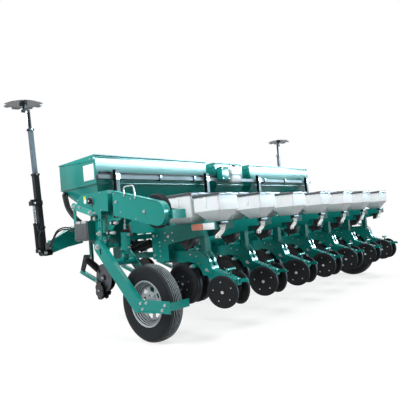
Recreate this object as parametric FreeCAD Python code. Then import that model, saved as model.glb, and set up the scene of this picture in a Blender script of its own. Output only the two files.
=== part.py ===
import FreeCAD, Part
import math
import os

V = FreeCAD.Vector
os.makedirs("parts", exist_ok=True)

# Seven-row precision planter, millimetres, +Z up, travel along +Y, X across.
# Origin: on the floor, half-way along the machine, in the plane of the middle row.

# ---- driving dimensions -------------------------------------------------------------
ROWS = 7
ROW_PITCH = 650.0
RUN = 0.05              # radial clearance of a running fit
SEAT = 0.3              # lids lie this far above their rims
GAP = 6.0               # clearance kept between a moving piece and its neighbours

MAIN_Y = 520.0          # centre of the main toolbar
MAIN_Z = 1120.0
MAIN_SEC = 180.0
MAIN_HALF = 2400.0
FRONT_Y = 1010.0        # centre of the front toolbar
FRONT_Z = 1120.0
FRONT_SEC = 120.0
FRONT_HALF = 2200.0
RAIL_W = 80.0           # bars that tie the two toolbars together
RAIL_XS = (620.0, 1300.0, 2080.0)

AXLE_Y = -450.0         # ground wheels
TYRE_R = 370.0
TYRE_W = 170.0
RIM_R = 212.0
WHEEL_X = 2310.0
AXLE_R = 22.0
ARM_PIVOT_Y = 89.0
ARM_PIVOT_Z = 940.0
PIVOT_R = 25.0

TANK_END = 2334.0       # fertiliser tanks
TANK_IN = 516.0
MID_HALF = 314.0
TANK_REAR = 250.0
TANK_FRONT = 967.0
TANK_CREASE = 1617.0
TANK_BASE = 1330.0
TANK_BASE_Y0 = 430.0
TANK_BASE_Y1 = 640.0
TANK_TOP = 1915.0
TANK_OUT_SLOPE = 150.0
TANK_IN_SLOPE = 40.0
TANK_WALL = 4.0
LID_T = 10.0

HOP_HALF = 147.0        # seed and granule hoppers, moulded
HOP_WALL = 5.0
RH_Y0 = -1215.0
RH_Y1 = -905.0
RH_CREASE = 1190.0
RH_TOP = 1325.0
FH_Y0 = -875.0
FH_Y1 = -500.0
FH_CREASE = 1150.0
FH_TOP = 1362.0
HOP_LID_T = 26.0
HOP_LID_OVER = 11.0

BEAM_TOP = 1090.0       # hopper carrier of a row unit
BEAM_H = 75.0
BEAM_HALF = 130.0
BEAM_T = 20.0
BEAM_Y0 = -1150.0
END_T = 8.0
COL_Y0 = -500.0
COL_Y1 = -330.0
COL_Z0 = 736.0
BODY_HALF = 40.0
BODY_Z0 = 714.0
BODY_Z1 = 828.0

GAUGE_Y = -644.0        # gauge wheels
GAUGE_Z = 512.0
GAUGE_R = 203.0
GAUGE_IN = 38.0
GAUGE_OUT = 126.0
GAUGE_AXLE_R = 10.0

CLOSE_R = 150.0         # closing wheels
CLOSE_X = 125.0
CLOSE_Y = -1153.0
CLOSE_Z = 452.0
CLOSE_TOE = 16.0
CLOSE_CAMBER = 6.0
CLOSE_AXLE_R = 9.0

MARK_X = 2584.0         # row markers
MARK_Y = 1010.0
MARK_Z = 915.0
MARK_TIP_Z = 2560.0
DISC_R = 213.0
DISC_OFF = 52.0
DISC_Z = 2620.0
MARK_LEAN = 2.4

STAND_X = 1000.0        # parking stands
STAND_SEC = 60.0

TIP = 1358.0            # rearmost and foremost reach
HITCH_LOBE = 45.0
HITCH_Y = TIP - HITCH_LOBE   # three-point hitch, category 3
HITCH_Z = 720.0
HITCH_SHOULDER = 482.5
HITCH_PIN_R = 18.3
HITCH_PIN_L = 105.0
MAST_H = 685.0
TOP_BORE_R = 16.0


# ---- helpers ------------------------------------------------------------------------
def box(x0, x1, y0, y1, z0, z1):
    return Part.makeBox(abs(x1 - x0), abs(y1 - y0), abs(z1 - z0), V(min(x0, x1), min(y0, y1), min(z0, z1)))


def rod(p, q, r):
    p = V(*p)
    q = V(*q)
    return Part.makeCylinder(r, (q - p).Length, p, q - p)


def plate_yz(points, x0, x1):
    """Closed outline in the Y-Z plane, extruded from x0 to x1."""
    pts = [V(x0, y, z) for y, z in points]
    face = Part.Face(Part.makePolygon(pts + [pts[0]]))
    return face.extrude(V(x1 - x0, 0, 0))


def plate_xz(points, y0, y1):
    pts = [V(x, y0, z) for x, z in points]
    face = Part.Face(Part.makePolygon(pts + [pts[0]]))
    return face.extrude(V(0, y1 - y0, 0))


def bar_yz(p, q, width, x0, x1):
    """Flat bar between two points of the Y-Z plane, with round ends."""
    p2 = V(0, *p)
    q2 = V(0, *q)
    d = (q2 - p2).normalize()
    n = V(0, -d.z, d.y) * (width / 2)
    corners = [p2 + n, q2 + n, q2 - n, p2 - n]
    out = plate_yz([(c.y, c.z) for c in corners], x0, x1)
    for e in (p, q):
        out = out.fuse(rod((x0, *e), (x1, *e), width / 2))
    return out.removeSplitter()


def join(shapes):
    out = shapes[0]
    if len(shapes) > 1:
        out = out.fuse(list(shapes[1:]))
    return out.removeSplitter()


def frustum(lower, upper):
    """Loft between two level rectangles given as (x0, x1, y0, y1, z)."""
    wires = []
    for x0, x1, y0, y1, z in (lower, upper):
        pts = [V(x0, y0, z), V(x1, y0, z), V(x1, y1, z), V(x0, y1, z), V(x0, y0, z)]
        wires.append(Part.makePolygon(pts))
    return Part.makeLoft(wires, True, True)


def lathe_x(profile, x, y, z):
    """Profile of (offset along X, radius) points turned about an axis along X."""
    pts = [V(x + a, y, z + r) for a, r in profile]
    face = Part.Face(Part.makePolygon(pts + [pts[0]]))
    return face.revolve(V(x, y, z), V(1, 0, 0), 360)


def tube_path(points, radii, r):
    """Round tube along straight runs joined by tangent arcs."""
    pts = [V(*p) for p in points]
    edges = []
    start = pts[0]
    for i in range(1, len(pts) - 1):
        a = (pts[i - 1] - pts[i]).normalize()
        b = (pts[i + 1] - pts[i]).normalize()
        half = math.acos(max(-1.0, min(1.0, -a.dot(b)))) / 2
        t = radii[i - 1] * math.tan(half)
        p0 = pts[i] + a * t
        p1 = pts[i] + b * t
        centre = pts[i] + (a + b).normalize() * (radii[i - 1] / math.cos(half))
        mid = centre + (pts[i] - centre).normalize() * radii[i - 1]
        edges.append(Part.LineSegment(start, p0).toShape())
        edges.append(Part.Arc(p0, mid, p1).toShape())
        start = p1
    edges.append(Part.LineSegment(start, pts[-1]).toShape())
    d = (pts[1] - pts[0]).normalize()
    ring = Part.Wire([Part.makeCircle(r, pts[0], d)])
    solid = Part.Wire(edges).makePipeShell([ring], True, True)
    length = sum(e.Length for e in edges)
    ratio = solid.Volume / (math.pi * r * r * length)
    print("tube r %.0f length %.0f radii %s volume ratio %.4f" % (r, length, radii, ratio))
    return solid


def save(name, shapes):
    solids = [s for shape in shapes for s in shape.Solids]
    for s in solids:
        if not s.isValid():
            print("not valid:", name)
    out = solids[0] if len(solids) == 1 else Part.makeCompound(solids)
    out.exportStep("parts/%s.step" % name)


row_xs = [(i - (ROWS - 1) / 2) * ROW_PITCH for i in range(ROWS)]
main_y0 = MAIN_Y - MAIN_SEC / 2
main_y1 = MAIN_Y + MAIN_SEC / 2
main_z0 = MAIN_Z - MAIN_SEC / 2
main_z1 = MAIN_Z + MAIN_SEC / 2
front_y0 = FRONT_Y - FRONT_SEC / 2
front_y1 = FRONT_Y + FRONT_SEC / 2
front_z0 = FRONT_Z - FRONT_SEC / 2
front_z1 = FRONT_Z + FRONT_SEC / 2

# ---- toolbar frame: main bar with end caps, front bar, tie bars, marker carriers, stand sleeves ----
CAP_T = 14.0
CAP_OVER = 8.0
bar = box(-MAIN_HALF, MAIN_HALF, main_y0, main_y1, main_z0, main_z1)
caps = []
for s in (-1, 1):
    caps.append(box(s * MAIN_HALF, s * (MAIN_HALF + CAP_T), main_y0 - CAP_OVER, main_y1 + CAP_OVER,
                    main_z0 - CAP_OVER, main_z1 + CAP_OVER))
main_bar = join([bar] + caps)
TIE_H = 80.0
SLEEVE_WALL = 8.0
SLEEVE_Z0 = 1030.0
SLEEVE_Z1 = 1210.0
CARRIER_Y0 = 960.0
CARRIER_Y1 = 1060.0
CARRIER_END = 2500.0
EAR_T = 12.0
EAR_R = 36.0
stand_play = 0.5
stand_half = STAND_SEC / 2 + stand_play
stand_y = front_y1 + stand_half + SLEEVE_WALL
frame_bits = [main_bar, box(-FRONT_HALF, FRONT_HALF, front_y0, front_y1, front_z0, front_z1)]
for x in RAIL_XS:
    for s in (-1, 1):
        frame_bits.append(box(s * x - RAIL_W / 2, s * x + RAIL_W / 2, main_y1, front_y0,
                              FRONT_Z - TIE_H / 2, FRONT_Z + TIE_H / 2))
for s in (-1, 1):
    outline = [(2090, 1185), (2170, 1200), (CARRIER_END, 1052), (CARRIER_END, 905), (2300, 955),
               (2090, 985)]
    frame_bits.append(plate_xz([(s * x, z) for x, z in outline], CARRIER_Y0, CARRIER_Y1))
    for y0 in (CARRIER_Y0, CARRIER_Y1 - EAR_T):
        ear = plate_xz([(s * CARRIER_END, 885), (s * CARRIER_END, 1010), (s * MARK_X, MARK_Z + EAR_R),
                        (s * MARK_X, MARK_Z - EAR_R)], y0, y0 + EAR_T)
        ear = ear.fuse(rod((s * MARK_X, y0, MARK_Z), (s * MARK_X, y0 + EAR_T, MARK_Z), EAR_R))
        frame_bits.append(ear)
    x = s * STAND_X
    frame_bits.append(box(x - stand_half - SLEEVE_WALL, x + stand_half + SLEEVE_WALL, front_y1,
                          stand_y + stand_half + SLEEVE_WALL, SLEEVE_Z0, SLEEVE_Z1))
toolbar = join(frame_bits)
MARK_PIN_R = 14.0
for s in (-1, 1):
    toolbar = toolbar.cut(rod((s * MARK_X, 900, MARK_Z), (s * MARK_X, 1100, MARK_Z), MARK_PIN_R + RUN))
    x = s * STAND_X
    toolbar = toolbar.cut(box(x - stand_half, x + stand_half, stand_y - stand_half,
                              stand_y + stand_half, SLEEVE_Z0 - 1, SLEEVE_Z1 + 1))
save("toolbar_frame", [toolbar])

# ---- parking stands -------------------------------------------------------------------
FOOT_T = 12.0
FOOT_HALF = 90.0
STAND_TOP = 1290.0
for s, side in ((-1, "left"), (1, "right")):
    x = s * STAND_X
    leg = box(x - STAND_SEC / 2, x + STAND_SEC / 2, stand_y - STAND_SEC / 2, stand_y + STAND_SEC / 2,
              FOOT_T, STAND_TOP)
    foot = box(x - FOOT_HALF, x + FOOT_HALF, stand_y - FOOT_HALF, stand_y + FOOT_HALF, 0, FOOT_T)
    save("parking_stand_" + side, [join([leg, foot])])

# ---- headstock: lower pins, A-frame and top-link ears -----------------------------------
PLATE_T = 25.0
EAR_IN = 30.0
EAR_OUT = 50.0
top_z = HITCH_Z + MAST_H
top_y = HITCH_Y - 73.0
head_bits = []
for s in (-1, 1):
    x0 = s * (HITCH_SHOULDER - PLATE_T)
    x1 = s * HITCH_SHOULDER
    side_pts = [(front_y1, front_z0 - 60), (front_y1, front_z1 + 40), (front_y1 + 130, front_z1 + 40),
                (TIP, HITCH_Z + 30), (TIP, HITCH_Z - HITCH_LOBE),
                (HITCH_Y - HITCH_LOBE, HITCH_Z - HITCH_LOBE)]
    head_bits.append(plate_yz(side_pts, x0, x1))
    head_bits.append(rod((x0, HITCH_Y, HITCH_Z), (x1 + s * HITCH_PIN_L, HITCH_Y, HITCH_Z), HITCH_PIN_R))
    ear_pts = [(front_y1, front_z0), (front_y1, front_z1 + 90), (top_y - 60, top_z + 40),
               (top_y + 45, top_z + 40),
               (top_y + 45, top_z - 45), (front_y1 + 90, front_z0)]
    head_bits.append(plate_yz(ear_pts, s * EAR_IN, s * EAR_OUT))
    brace = [(s * HITCH_SHOULDER, front_z1 - 30), (s * HITCH_SHOULDER, front_z1 + 40),
             (s * EAR_OUT, top_z + 10),
             (s * EAR_OUT, top_z - 70)]
    head_bits.append(plate_xz(brace, front_y1 + 70, front_y1 + 110))
head_bits.append(box(-HITCH_SHOULDER, HITCH_SHOULDER, front_y1 + 10, front_y1 + 60, front_z0 - 40,
                     front_z0 + 20))
headstock = join(head_bits)
headstock = headstock.cut(rod((-80, top_y, top_z), (80, top_y, top_z), TOP_BORE_R))
save("headstock", [headstock])

# ---- end frames: two hanger plates a side, wheel-arm bore and upper ram lugs ------------
HANG_IN = 2225.0
HANG_OUT = 2385.0
HANG_T = 15.0
RAM_TOP = (-141.0, 1240.0)
RAM_TOP_PIN_R = 9.0     # loose in the eye, which drifts as the arm swings
RAM_EYE_BORE_R = 13.5
CASE_PIVOT = (-240.0, 1365.0)
CASE_PIN_R = 20.0
HOUSE_Y0 = -105.0
hanger = [(main_y0, main_z0), (main_y0, main_z1), (300, main_z1 + 12), (300, 1300), (365, 1370),
          (345, 1440), (60, 1440), (-60, 1460), (-270, 1415),
          (-290, 1330), (-195, 1195), (-150, 1185), (-60, 1120), (35, 1000), (40, 900), (80, 880),
          (130, 890), (280, 960)]
STUB_END = 2483.0       # capped square tube welded to the outer plate, for a further row unit
STUB_Y0 = 250.0
STUB_Y1 = 490.0
STUB_Z0 = 1020.0
STUB_Z1 = 1216.0
STRUT_HOLES = ((60, 1209), (63, 1126))
STRUT_HOLE_R = 14.0
end_shapes = []
for s in (-1, 1):
    bits = []
    for x in (HANG_IN, HANG_OUT):
        bits.append(plate_yz(hanger, s * x, s * (x + HANG_T)))
    for y, z, r in ((180, 1187, 25), (330, 1040, 22), (60, 1330, 22), (*RAM_TOP, RAM_TOP_PIN_R)):
        bits.append(rod((s * HANG_IN, y, z), (s * (HANG_OUT + HANG_T), y, z), r))
    frame = join(bits)
    pivot = (ARM_PIVOT_Y, ARM_PIVOT_Z)
    frame = frame.cut(rod((s * 2200, *pivot), (s * 2500, *pivot), PIVOT_R + RUN))
    out = s * (HANG_OUT + HANG_T)
    frame = join([frame, box(out, s * STUB_END, STUB_Y0, STUB_Y1, STUB_Z0, STUB_Z1)])
    if s < 0:
        frame = frame.cut(rod((s * (HANG_OUT - 5), *CASE_PIVOT), (out - 5, *CASE_PIVOT), CASE_PIN_R + RUN))
        cover = [(450, 1370), (440, 1462), (355, 1503), (HOUSE_Y0, 1500), (HOUSE_Y0 + 14, 1289),
                 (330, 1340)]
        cover = plate_yz(cover, out, out - 70)
        knob = rod((out - 70, 178, 1420), (out - 100, 178, 1420), 32)
        link = bar_yz((500, 1395), (180, 1297), 70, out - 85, out - 73)
        strut = bar_yz((55, 1290), (70, 1035), 55, out - 70, out - 58)
        for y, z in STRUT_HOLES:
            strut = strut.cut(rod((out - 75, y, z), (out - 55, y, z), STRUT_HOLE_R))
        boss_b = rod((out - 58, 68, 1060), (out, 68, 1060), 18)
        boss_c = rod((out - 58, 60, 1292), (out, 60, 1292), 18)
        boss_d = rod((out - 58, 180, 1297), (out - 74, 180, 1297), 20)
        pad = bar_yz((180, 1297), (60, 1292), 46, out - 70, out - 60)
        post = bar_yz((500, 1395), (505, 1250), 45, out - 72, out - 62)
        post_foot = box(out - 72, s * (MAIN_HALF - 60), 480, 530, main_z1, main_z1 + 14)
        post_web = box(out - 72, out - 62, 480, 530, main_z1, 1260)
        frame = join([frame, cover, knob, link, strut, boss_b, boss_c, boss_d, pad, post, post_foot,
                      post_web])
    end_shapes.append(frame.cut(main_bar))
save("end_frames", end_shapes)

# ---- ground wheel arms: outer box arm, inner arm, ram lug, axle and mud scraper ----------
ARM_OUT0 = 2450.0
ARM_OUT1 = 2498.0
ARM_IN0 = 2172.0
ARM_IN1 = 2190.0
RAM_LOW = (-120.0, 834.0)
RAM_PIN_R = 14.0
TIE_AT = 0.30
ARM_SLOT = ((46, 912), (50, 868))   # lightening slot below the pivot
ARM_SLOT_W = 22.0
tyre_half = TYRE_W / 2
pivot = (ARM_PIVOT_Y, ARM_PIVOT_Z)
axle = (AXLE_Y, TYRE_R)
tie = tuple(p + (a - p) * TIE_AT for p, a in zip(pivot, axle))
BRACKET_Z0 = 322.0
BRACKET_Z1 = 432.0
SCRAPE_Y = AXLE_Y - TYRE_R - 60.0


def wheel_arm(s):
    outer = bar_yz(pivot, axle, 128, s * ARM_OUT0, s * ARM_OUT1)
    outer = outer.cut(bar_yz(*ARM_SLOT, ARM_SLOT_W, s * (ARM_OUT0 - 1), s * (ARM_OUT1 + 1)))
    inner = bar_yz(pivot, axle, 96, s * ARM_IN0, s * ARM_IN1)
    pin = rod((s * ARM_IN0, *pivot), (s * ARM_OUT1, *pivot), PIVOT_R)
    stub = rod((s * ARM_IN0, *axle), (s * ARM_OUT1, *axle), AXLE_R)
    tube = rod((s * ARM_IN0, *tie), (s * ARM_OUT1, *tie), 36)
    bits = [outer, inner, pin, stub, tube]
    for x in (WHEEL_X - 34, WHEEL_X + 22):
        bits.append(plate_yz([(tie[0] - 30, tie[1] - 10), (RAM_LOW[0] - 22, RAM_LOW[1] + 20),
                              (RAM_LOW[0] + 22, RAM_LOW[1] + 24), (tie[0] + 34, tie[1] + 10)], s * x,
                             s * (x + 12)))
    arm_low = box(s * (ARM_OUT1 - 10), s * ARM_OUT1, AXLE_Y - 30, SCRAPE_Y - 14, BRACKET_Z0, BRACKET_Z1)
    cross = box(s * (WHEEL_X - 60), s * ARM_OUT1, SCRAPE_Y - 14, SCRAPE_Y - 4, BRACKET_Z0 + 25,
                BRACKET_Z1 - 15)
    bits += [arm_low, cross]
    return join(bits).cut(rod((s * 2200, *RAM_LOW), (s * 2400, *RAM_LOW), RAM_PIN_R + RUN))


WHEEL_HUB = 62.0
wheel_profile = [(-WHEEL_HUB, AXLE_R + RUN), (WHEEL_HUB, AXLE_R + RUN), (WHEEL_HUB, 48), (12, 56), (12, 120),
                 (30, 160), (30, 186), (72, 192), (72, RIM_R), (62, RIM_R + 14), (tyre_half - 4, 262),
                 (tyre_half, 300),
                 (tyre_half - 6, 338), (tyre_half - 22, 360), (30, TYRE_R), (-30, TYRE_R),
                 (22 - tyre_half, 360),
                 (6 - tyre_half, 338), (-tyre_half, 300), (4 - tyre_half, 262), (-62, RIM_R + 14),
                 (-72, RIM_R),
                 (-72, 192), (16, 186), (16, 160), (0, 120), (0, 56), (-WHEEL_HUB, 48)]
for s, side in ((-1, "left"), (1, "right")):
    save("wheel_arm_" + side, [wheel_arm(s)])
    profile = [(s * a, r) for a, r in wheel_profile]
    save("ground_wheel_" + side, [lathe_x(profile, s * WHEEL_X, *axle)])

# ---- lift rams: barrel on the wheel arm, rod up to the end frame -------------------------
BARREL_R = 46.0
BARREL_L0 = 38.0
BARREL_L1 = 246.0
RAM_ROD_R = 16.0
EYE_R = 22.0
EYE_HALF = 20.0
EYE_ROOM_R = 56.0       # round the low eye the barrel is cut back clear of the arm's lugs
low = V(0, *RAM_LOW)
top = V(0, *RAM_TOP)
ram_dir = (top - low).normalize()
ram_len = (top - low).Length


def on_ram(x, t):
    p = low + ram_dir * t
    return (x, p.y, p.z)


for s, side in ((-1, "left"), (1, "right")):
    x = s * (WHEEL_X)
    eye = rod((x - EYE_HALF, *RAM_LOW), (x + EYE_HALF, *RAM_LOW), EYE_R)
    pin = rod((x - 40, *RAM_LOW), (x + 40, *RAM_LOW), RAM_PIN_R)
    barrel = rod(on_ram(x, 15), on_ram(x, BARREL_L1), BARREL_R)
    barrel = barrel.cut(rod(on_ram(x, BARREL_L0 + 10), on_ram(x, BARREL_L1 + 5), RAM_ROD_R + RUN))
    for s_eye in (-1, 1):
        beside = x + s_eye * (EYE_HALF + 0.5)
        barrel = barrel.cut(rod((beside, *RAM_LOW), (beside + s_eye * 60, *RAM_LOW), EYE_ROOM_R))
    save("lift_barrel_" + side, [join([barrel, eye, pin])])
    shank = rod(on_ram(x, 166), on_ram(x, ram_len), RAM_ROD_R)
    top_eye = rod((x - EYE_HALF, *RAM_TOP), (x + EYE_HALF, *RAM_TOP), 24)
    top_eye = join([shank, top_eye]).cut(rod((x - 50, *RAM_TOP), (x + 50, *RAM_TOP), RAM_EYE_BORE_R))
    save("lift_rod_" + side, [top_eye])

# ---- ground drive, left side: swinging chain case and contact tyre ------------------------
CASE_X0 = 2474.0
CASE_X1 = 2408.0
CASE_END = (-803.0, 1207.0)     # round rear end of the case
CASE_END_R = 112.0
DRIVE_AT = (-642.0, 1238.0)     # axle of the contact tyre
DRIVE_R = 165.0
DRIVE_HALF = 46.0
DRIVE_AXLE_R = 12.0
FORK_X = 2245.0
FORK_T = 12.0
FORK_Y = CASE_END[0] - CASE_END_R - 15.0
FORK_Z0 = 1148.0
FORK_Z1 = 1228.0
case_top = (-187.0, 1484.0)
case_bottom = (-179.0, 1239.0)


def tangent_point(p, c, r, side):
    """Point of the circle where the line from p touches it."""
    dy = c[0] - p[0]
    dz = c[1] - p[1]
    d = math.hypot(dy, dz)
    base = math.atan2(dz, dy)
    a = math.asin(r / d) * side
    t = math.sqrt(d * d - r * r)
    return (p[0] + t * math.cos(base + a), p[1] + t * math.sin(base + a))


t_top = tangent_point(case_top, CASE_END, CASE_END_R, -1)
t_bot = tangent_point(case_bottom, CASE_END, CASE_END_R, 1)
case_rear = (CASE_END[0] - CASE_END_R, CASE_END[1])
case_edges = [Part.LineSegment(V(-CASE_X0, *case_bottom), V(-CASE_X0, *case_top)).toShape(),
              Part.LineSegment(V(-CASE_X0, *case_top), V(-CASE_X0, *t_top)).toShape(),
              Part.Arc(V(-CASE_X0, *t_top), V(-CASE_X0, *case_rear), V(-CASE_X0, *t_bot)).toShape(),
              Part.LineSegment(V(-CASE_X0, *t_bot), V(-CASE_X0, *case_bottom)).toShape()]
case_body = Part.Face(Part.Wire(case_edges)).extrude(V(CASE_X0 - CASE_X1, 0, 0))
case_pin = rod((-(CASE_X1 + 20), *CASE_PIVOT), (-(HANG_OUT - 14), *CASE_PIVOT), CASE_PIN_R)
case_collar = rod((-(HANG_OUT - 1), *CASE_PIVOT), (-(HANG_OUT - 14), *CASE_PIVOT), 30)
fork_out = box(-(CASE_X1 + 5), -(CASE_X1 - 10), FORK_Y - FORK_T, CASE_END[0] + 40, FORK_Z0, FORK_Z1)
fork_back = box(-CASE_X1, -FORK_X, FORK_Y - FORK_T, FORK_Y, FORK_Z0, FORK_Z1)
fork_root = (FORK_Y + 24, (FORK_Z0 + FORK_Z1) / 2)
fork_in = bar_yz(DRIVE_AT, fork_root, 72, -(FORK_X + 10), -FORK_X)
case_axle = rod((-(CASE_X1 + 20), *DRIVE_AT), (-FORK_X, *DRIVE_AT), DRIVE_AXLE_R)
drive_case = join([case_body, case_pin, case_collar, fork_out, fork_back, fork_in, case_axle])
save("drive_case", [drive_case])
drive_profile = [(-DRIVE_HALF, DRIVE_AXLE_R + RUN), (DRIVE_HALF, DRIVE_AXLE_R + RUN), (DRIVE_HALF, 34),
                 (10, 40),
                 (10, 84), (36, 92), (44, 120), (38, 150), (22, DRIVE_R), (-22, DRIVE_R), (-38, 150),
                 (-44, 120),
                 (-36, 92), (-10, 84), (-10, 40), (-DRIVE_HALF, 34)]
save("drive_tyre", [lathe_x(drive_profile, -WHEEL_X, *DRIVE_AT)])

# ---- row units: carrier beams, column, body, arch, links, gauge arms and disc openers -------
LINK_Y1 = 260.0
LINK_Y0 = -300.0
LINK_ZS = (800.0, 1000.0)
HEAD_Y0 = 225.0
ARCH_HALF = 50.0
ARCH_T = 6.0
GAUGE_PIVOT = (-800.0, 684.0)
GAUGE_ARM_T = 9.0
SEED_DISC_R = 190.0
SEED_DISC_TILT = 3.0
CLOSE_PIVOT = (-900.0, 617.0)


def arch_plate(x0, x1, inset):
    """Side outline of the depth frame: flat top, curved slotted back, open bottom."""
    a = V(x0, -640 - inset, 828 - inset)
    b = V(x0, -835, 828 - inset)
    m = V(x0, -930 + inset * 0.7, 757 - inset * 0.4)
    c = V(x0, -990 + inset, 640)
    edges = [Part.LineSegment(a, b).toShape(), Part.Arc(b, m, c).toShape()]
    tail = [c, V(x0, -985 + inset, 600), V(x0, -870, 585), V(x0, -840, 640), V(x0, -765, 706),
            V(x0, -640 - inset, 730), a]
    edges += [Part.LineSegment(p, q).toShape() for p, q in zip(tail[:-1], tail[1:])]
    return Part.Face(Part.Wire(edges)).extrude(V(x1 - x0, 0, 0))


def seed_discs(x):
    out = []
    for s in (-1, 1):
        disc = Part.makeCylinder(SEED_DISC_R, 3, V(s * 2 - (3 if s < 0 else 0), 0, 0), V(1, 0, 0))
        disc = disc.fuse(Part.makeCylinder(46, 12, V(-6 + s * 2, 0, 0), V(1, 0, 0)))
        disc.rotate(V(s * 2, SEED_DISC_R, 0), V(0, 0, 1), s * SEED_DISC_TILT)
        disc.translate(V(x, GAUGE_Y + 18, GAUGE_Z - 4))
        out.append(disc)
    hub = rod((x - 14, GAUGE_Y + 18, GAUGE_Z - 4), (x + 14, GAUGE_Y + 18, GAUGE_Z - 4), 30)
    return out + [hub]


def row_frame(x):
    bits = []
    beam_z0 = BEAM_TOP - BEAM_H
    for s in (-1, 1):
        outer = x + s * BEAM_HALF
        bits.append(box(outer, outer - s * BEAM_T, BEAM_Y0, COL_Y1, beam_z0, BEAM_TOP))
        gusset = [(COL_Y1, beam_z0), (-1025, beam_z0), (-1025, 975), (COL_Y1, 880)]
        bits.append(plate_yz(gusset, outer, outer - s * 8))
        bits.append(box(outer, outer - s * 8, COL_Y0, COL_Y1, COL_Z0, beam_z0))
        bits.append(box(x + s * 92, x + s * 104, HEAD_Y0, main_y0, 755, 1050))
        for z in LINK_ZS:
            bits.append(bar_yz((LINK_Y1, z), (LINK_Y0, z), 50, x + s * 78, x + s * 90))
            bits.append(rod((x + s * 70, LINK_Y1, z), (x + s * 112, LINK_Y1, z), 15))
            bits.append(rod((x + s * 70, LINK_Y0, z), (x + s * BEAM_HALF, LINK_Y0, z), 15))
        bits.append(box(outer, outer - s * 8, LINK_Y0 - 40, LINK_Y0 + 32, 760, 1040))
        arm_x = x + s * (GAUGE_IN - GAP)
        bits.append(bar_yz(GAUGE_PIVOT, (GAUGE_Y, GAUGE_Z), 44, arm_x, arm_x - s * GAUGE_ARM_T))
        bits.append(rod((x + s * 20, *GAUGE_PIVOT), (x + s * 108, *GAUGE_PIVOT), 14))
        bits.append(rod((arm_x, GAUGE_Y, GAUGE_Z), (x + s * (GAUGE_OUT - 12), GAUGE_Y, GAUGE_Z),
                        GAUGE_AXLE_R))
    bits.append(box(x - 104, x + 104, main_y0 - 12, main_y0, 755, 1195))
    bits.append(box(x - BEAM_HALF, x + BEAM_HALF, COL_Y1 - 8, COL_Y1, COL_Z0, 880))
    bits.append(box(x - BEAM_HALF, x + BEAM_HALF, COL_Y1 - 30, COL_Y1, 1040, BEAM_TOP))
    bits.append(box(x - BODY_HALF, x + BODY_HALF, -900, COL_Y1, BODY_Z0, BODY_Z1))
    bits.append(box(x - BEAM_HALF, x + BEAM_HALF, BEAM_Y0, BEAM_Y0 + END_T, beam_z0, BEAM_TOP))
    arch = arch_plate(x - ARCH_HALF, x + ARCH_HALF, 0)
    arch = arch.cut(arch_plate(x - ARCH_HALF + ARCH_T, x + ARCH_HALF - ARCH_T, ARCH_T))
    for y, z in ((-885, 805), (-925, 745), (-955, 690)):
        slot = box(x - 16, x + 16, y - 40, y + 20, z - 15, z + 15)
        arch = arch.cut(slot)
    bits.append(arch)
    bits.append(box(x - 30, x + 30, -905, -840, 800, beam_z0))
    bits.append(box(x - BEAM_HALF, x + BEAM_HALF, -905, -840, beam_z0 - 6, beam_z0 + 6))
    bits.append(rod((x, -815, 815), (x, -815, 868), 9))
    bits.append(rod((x - 60, -815, 862), (x + 60, -815, 862), 10))
    bits.append(box(x - 9, x + 9, -760, -600, 480, BODY_Z0 + 5))
    bits += seed_discs(x)
    return join(bits)


row_solids = [row_frame(x) for x in row_xs]
row_solids = [r.cut(main_bar) for r in row_solids]
save("row_frames", row_solids)

# ---- closing arms: box arm with lugs, handle, wheel stubs and chain hook -------------------
toe = math.radians(CLOSE_TOE)
camber = math.radians(CLOSE_CAMBER)
CLOSE_HUB = 26.0


def close_axis(s):
    """Outward unit vector of a closing wheel's spindle, s -1 left or +1 right."""
    return V(s * math.cos(toe) * math.cos(camber), -math.sin(toe) * math.cos(camber), -math.sin(camber))


def closing_arm(x):
    top_pts = [(CLOSE_PIVOT[0] - 8, 655), (-935, 662), (-1242, 552), (-1242, 505), (-1190, 500), (-1185, 430),
               (-1085, 430), (-1060, 540), (-985, 520), (CLOSE_PIVOT[0] - 8, 590)]
    arm = plate_yz(top_pts, x - 44, x + 44)
    arm = arm.cut(plate_yz([(-935, 640), (-1225, 535), (-1225, 400), (-935, 400)], x - 38, x + 38))
    bits = [arm]
    for s in (-1, 1):
        centre = V(x + s * CLOSE_X, CLOSE_Y, CLOSE_Z)
        inner = centre - close_axis(s) * 92
        outer = centre + close_axis(s) * 16
        bits.append(rod(tuple(inner), tuple(outer), CLOSE_AXLE_R))
        bits.append(rod(tuple(inner), tuple(centre - close_axis(s) * 44), 18))
    bits.append(box(x - 44, x + 44, -1150, -1100, 440, 480))
    bits.append(rod((x, -1165, 560), (x, -1165, 640), 8))
    bits.append(rod((x - 45, -1165, 640), (x + 45, -1165, 640), 12))
    bits.append(box(x - 30, x + 30, -1252, -1242, 498, 560))
    hook = plate_yz([(-1250, 520), (-1250, 552), (-1335, 560), (-1358, 545), (-1350, 520), (-1330, 530)],
                    x - 5, x + 5)
    bits.append(hook)
    return join(bits)


save("closing_arms", [closing_arm(x).cut(r) for x, r in zip(row_xs, row_solids)])

# ---- closing wheels, fourteen, each on its own toed and cambered spindle --------------------
for i, x in enumerate(row_xs):
    for s, side in ((-1, "left"), (1, "right")):
        profile = [(-13, CLOSE_R - 9), (-8, CLOSE_R), (8, CLOSE_R), (13, CLOSE_R - 9), (13, 118), (5, 110),
                   (5, 40), (CLOSE_HUB / 2 + 6, 32), (CLOSE_HUB / 2 + 6, CLOSE_AXLE_R + RUN),
                   (-CLOSE_HUB, CLOSE_AXLE_R + RUN), (-CLOSE_HUB, 32), (-5, 40), (-5, 110), (-13, 118)]
        wheel = lathe_x(profile, 0, 0, 0)
        axis = close_axis(s)
        wheel.Placement = FreeCAD.Placement(V(x + s * CLOSE_X, CLOSE_Y, CLOSE_Z),
                                            FreeCAD.Rotation(V(1, 0, 0), axis))
        save("closing_wheel_%d_%s" % (i + 1, side), [wheel])

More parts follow.
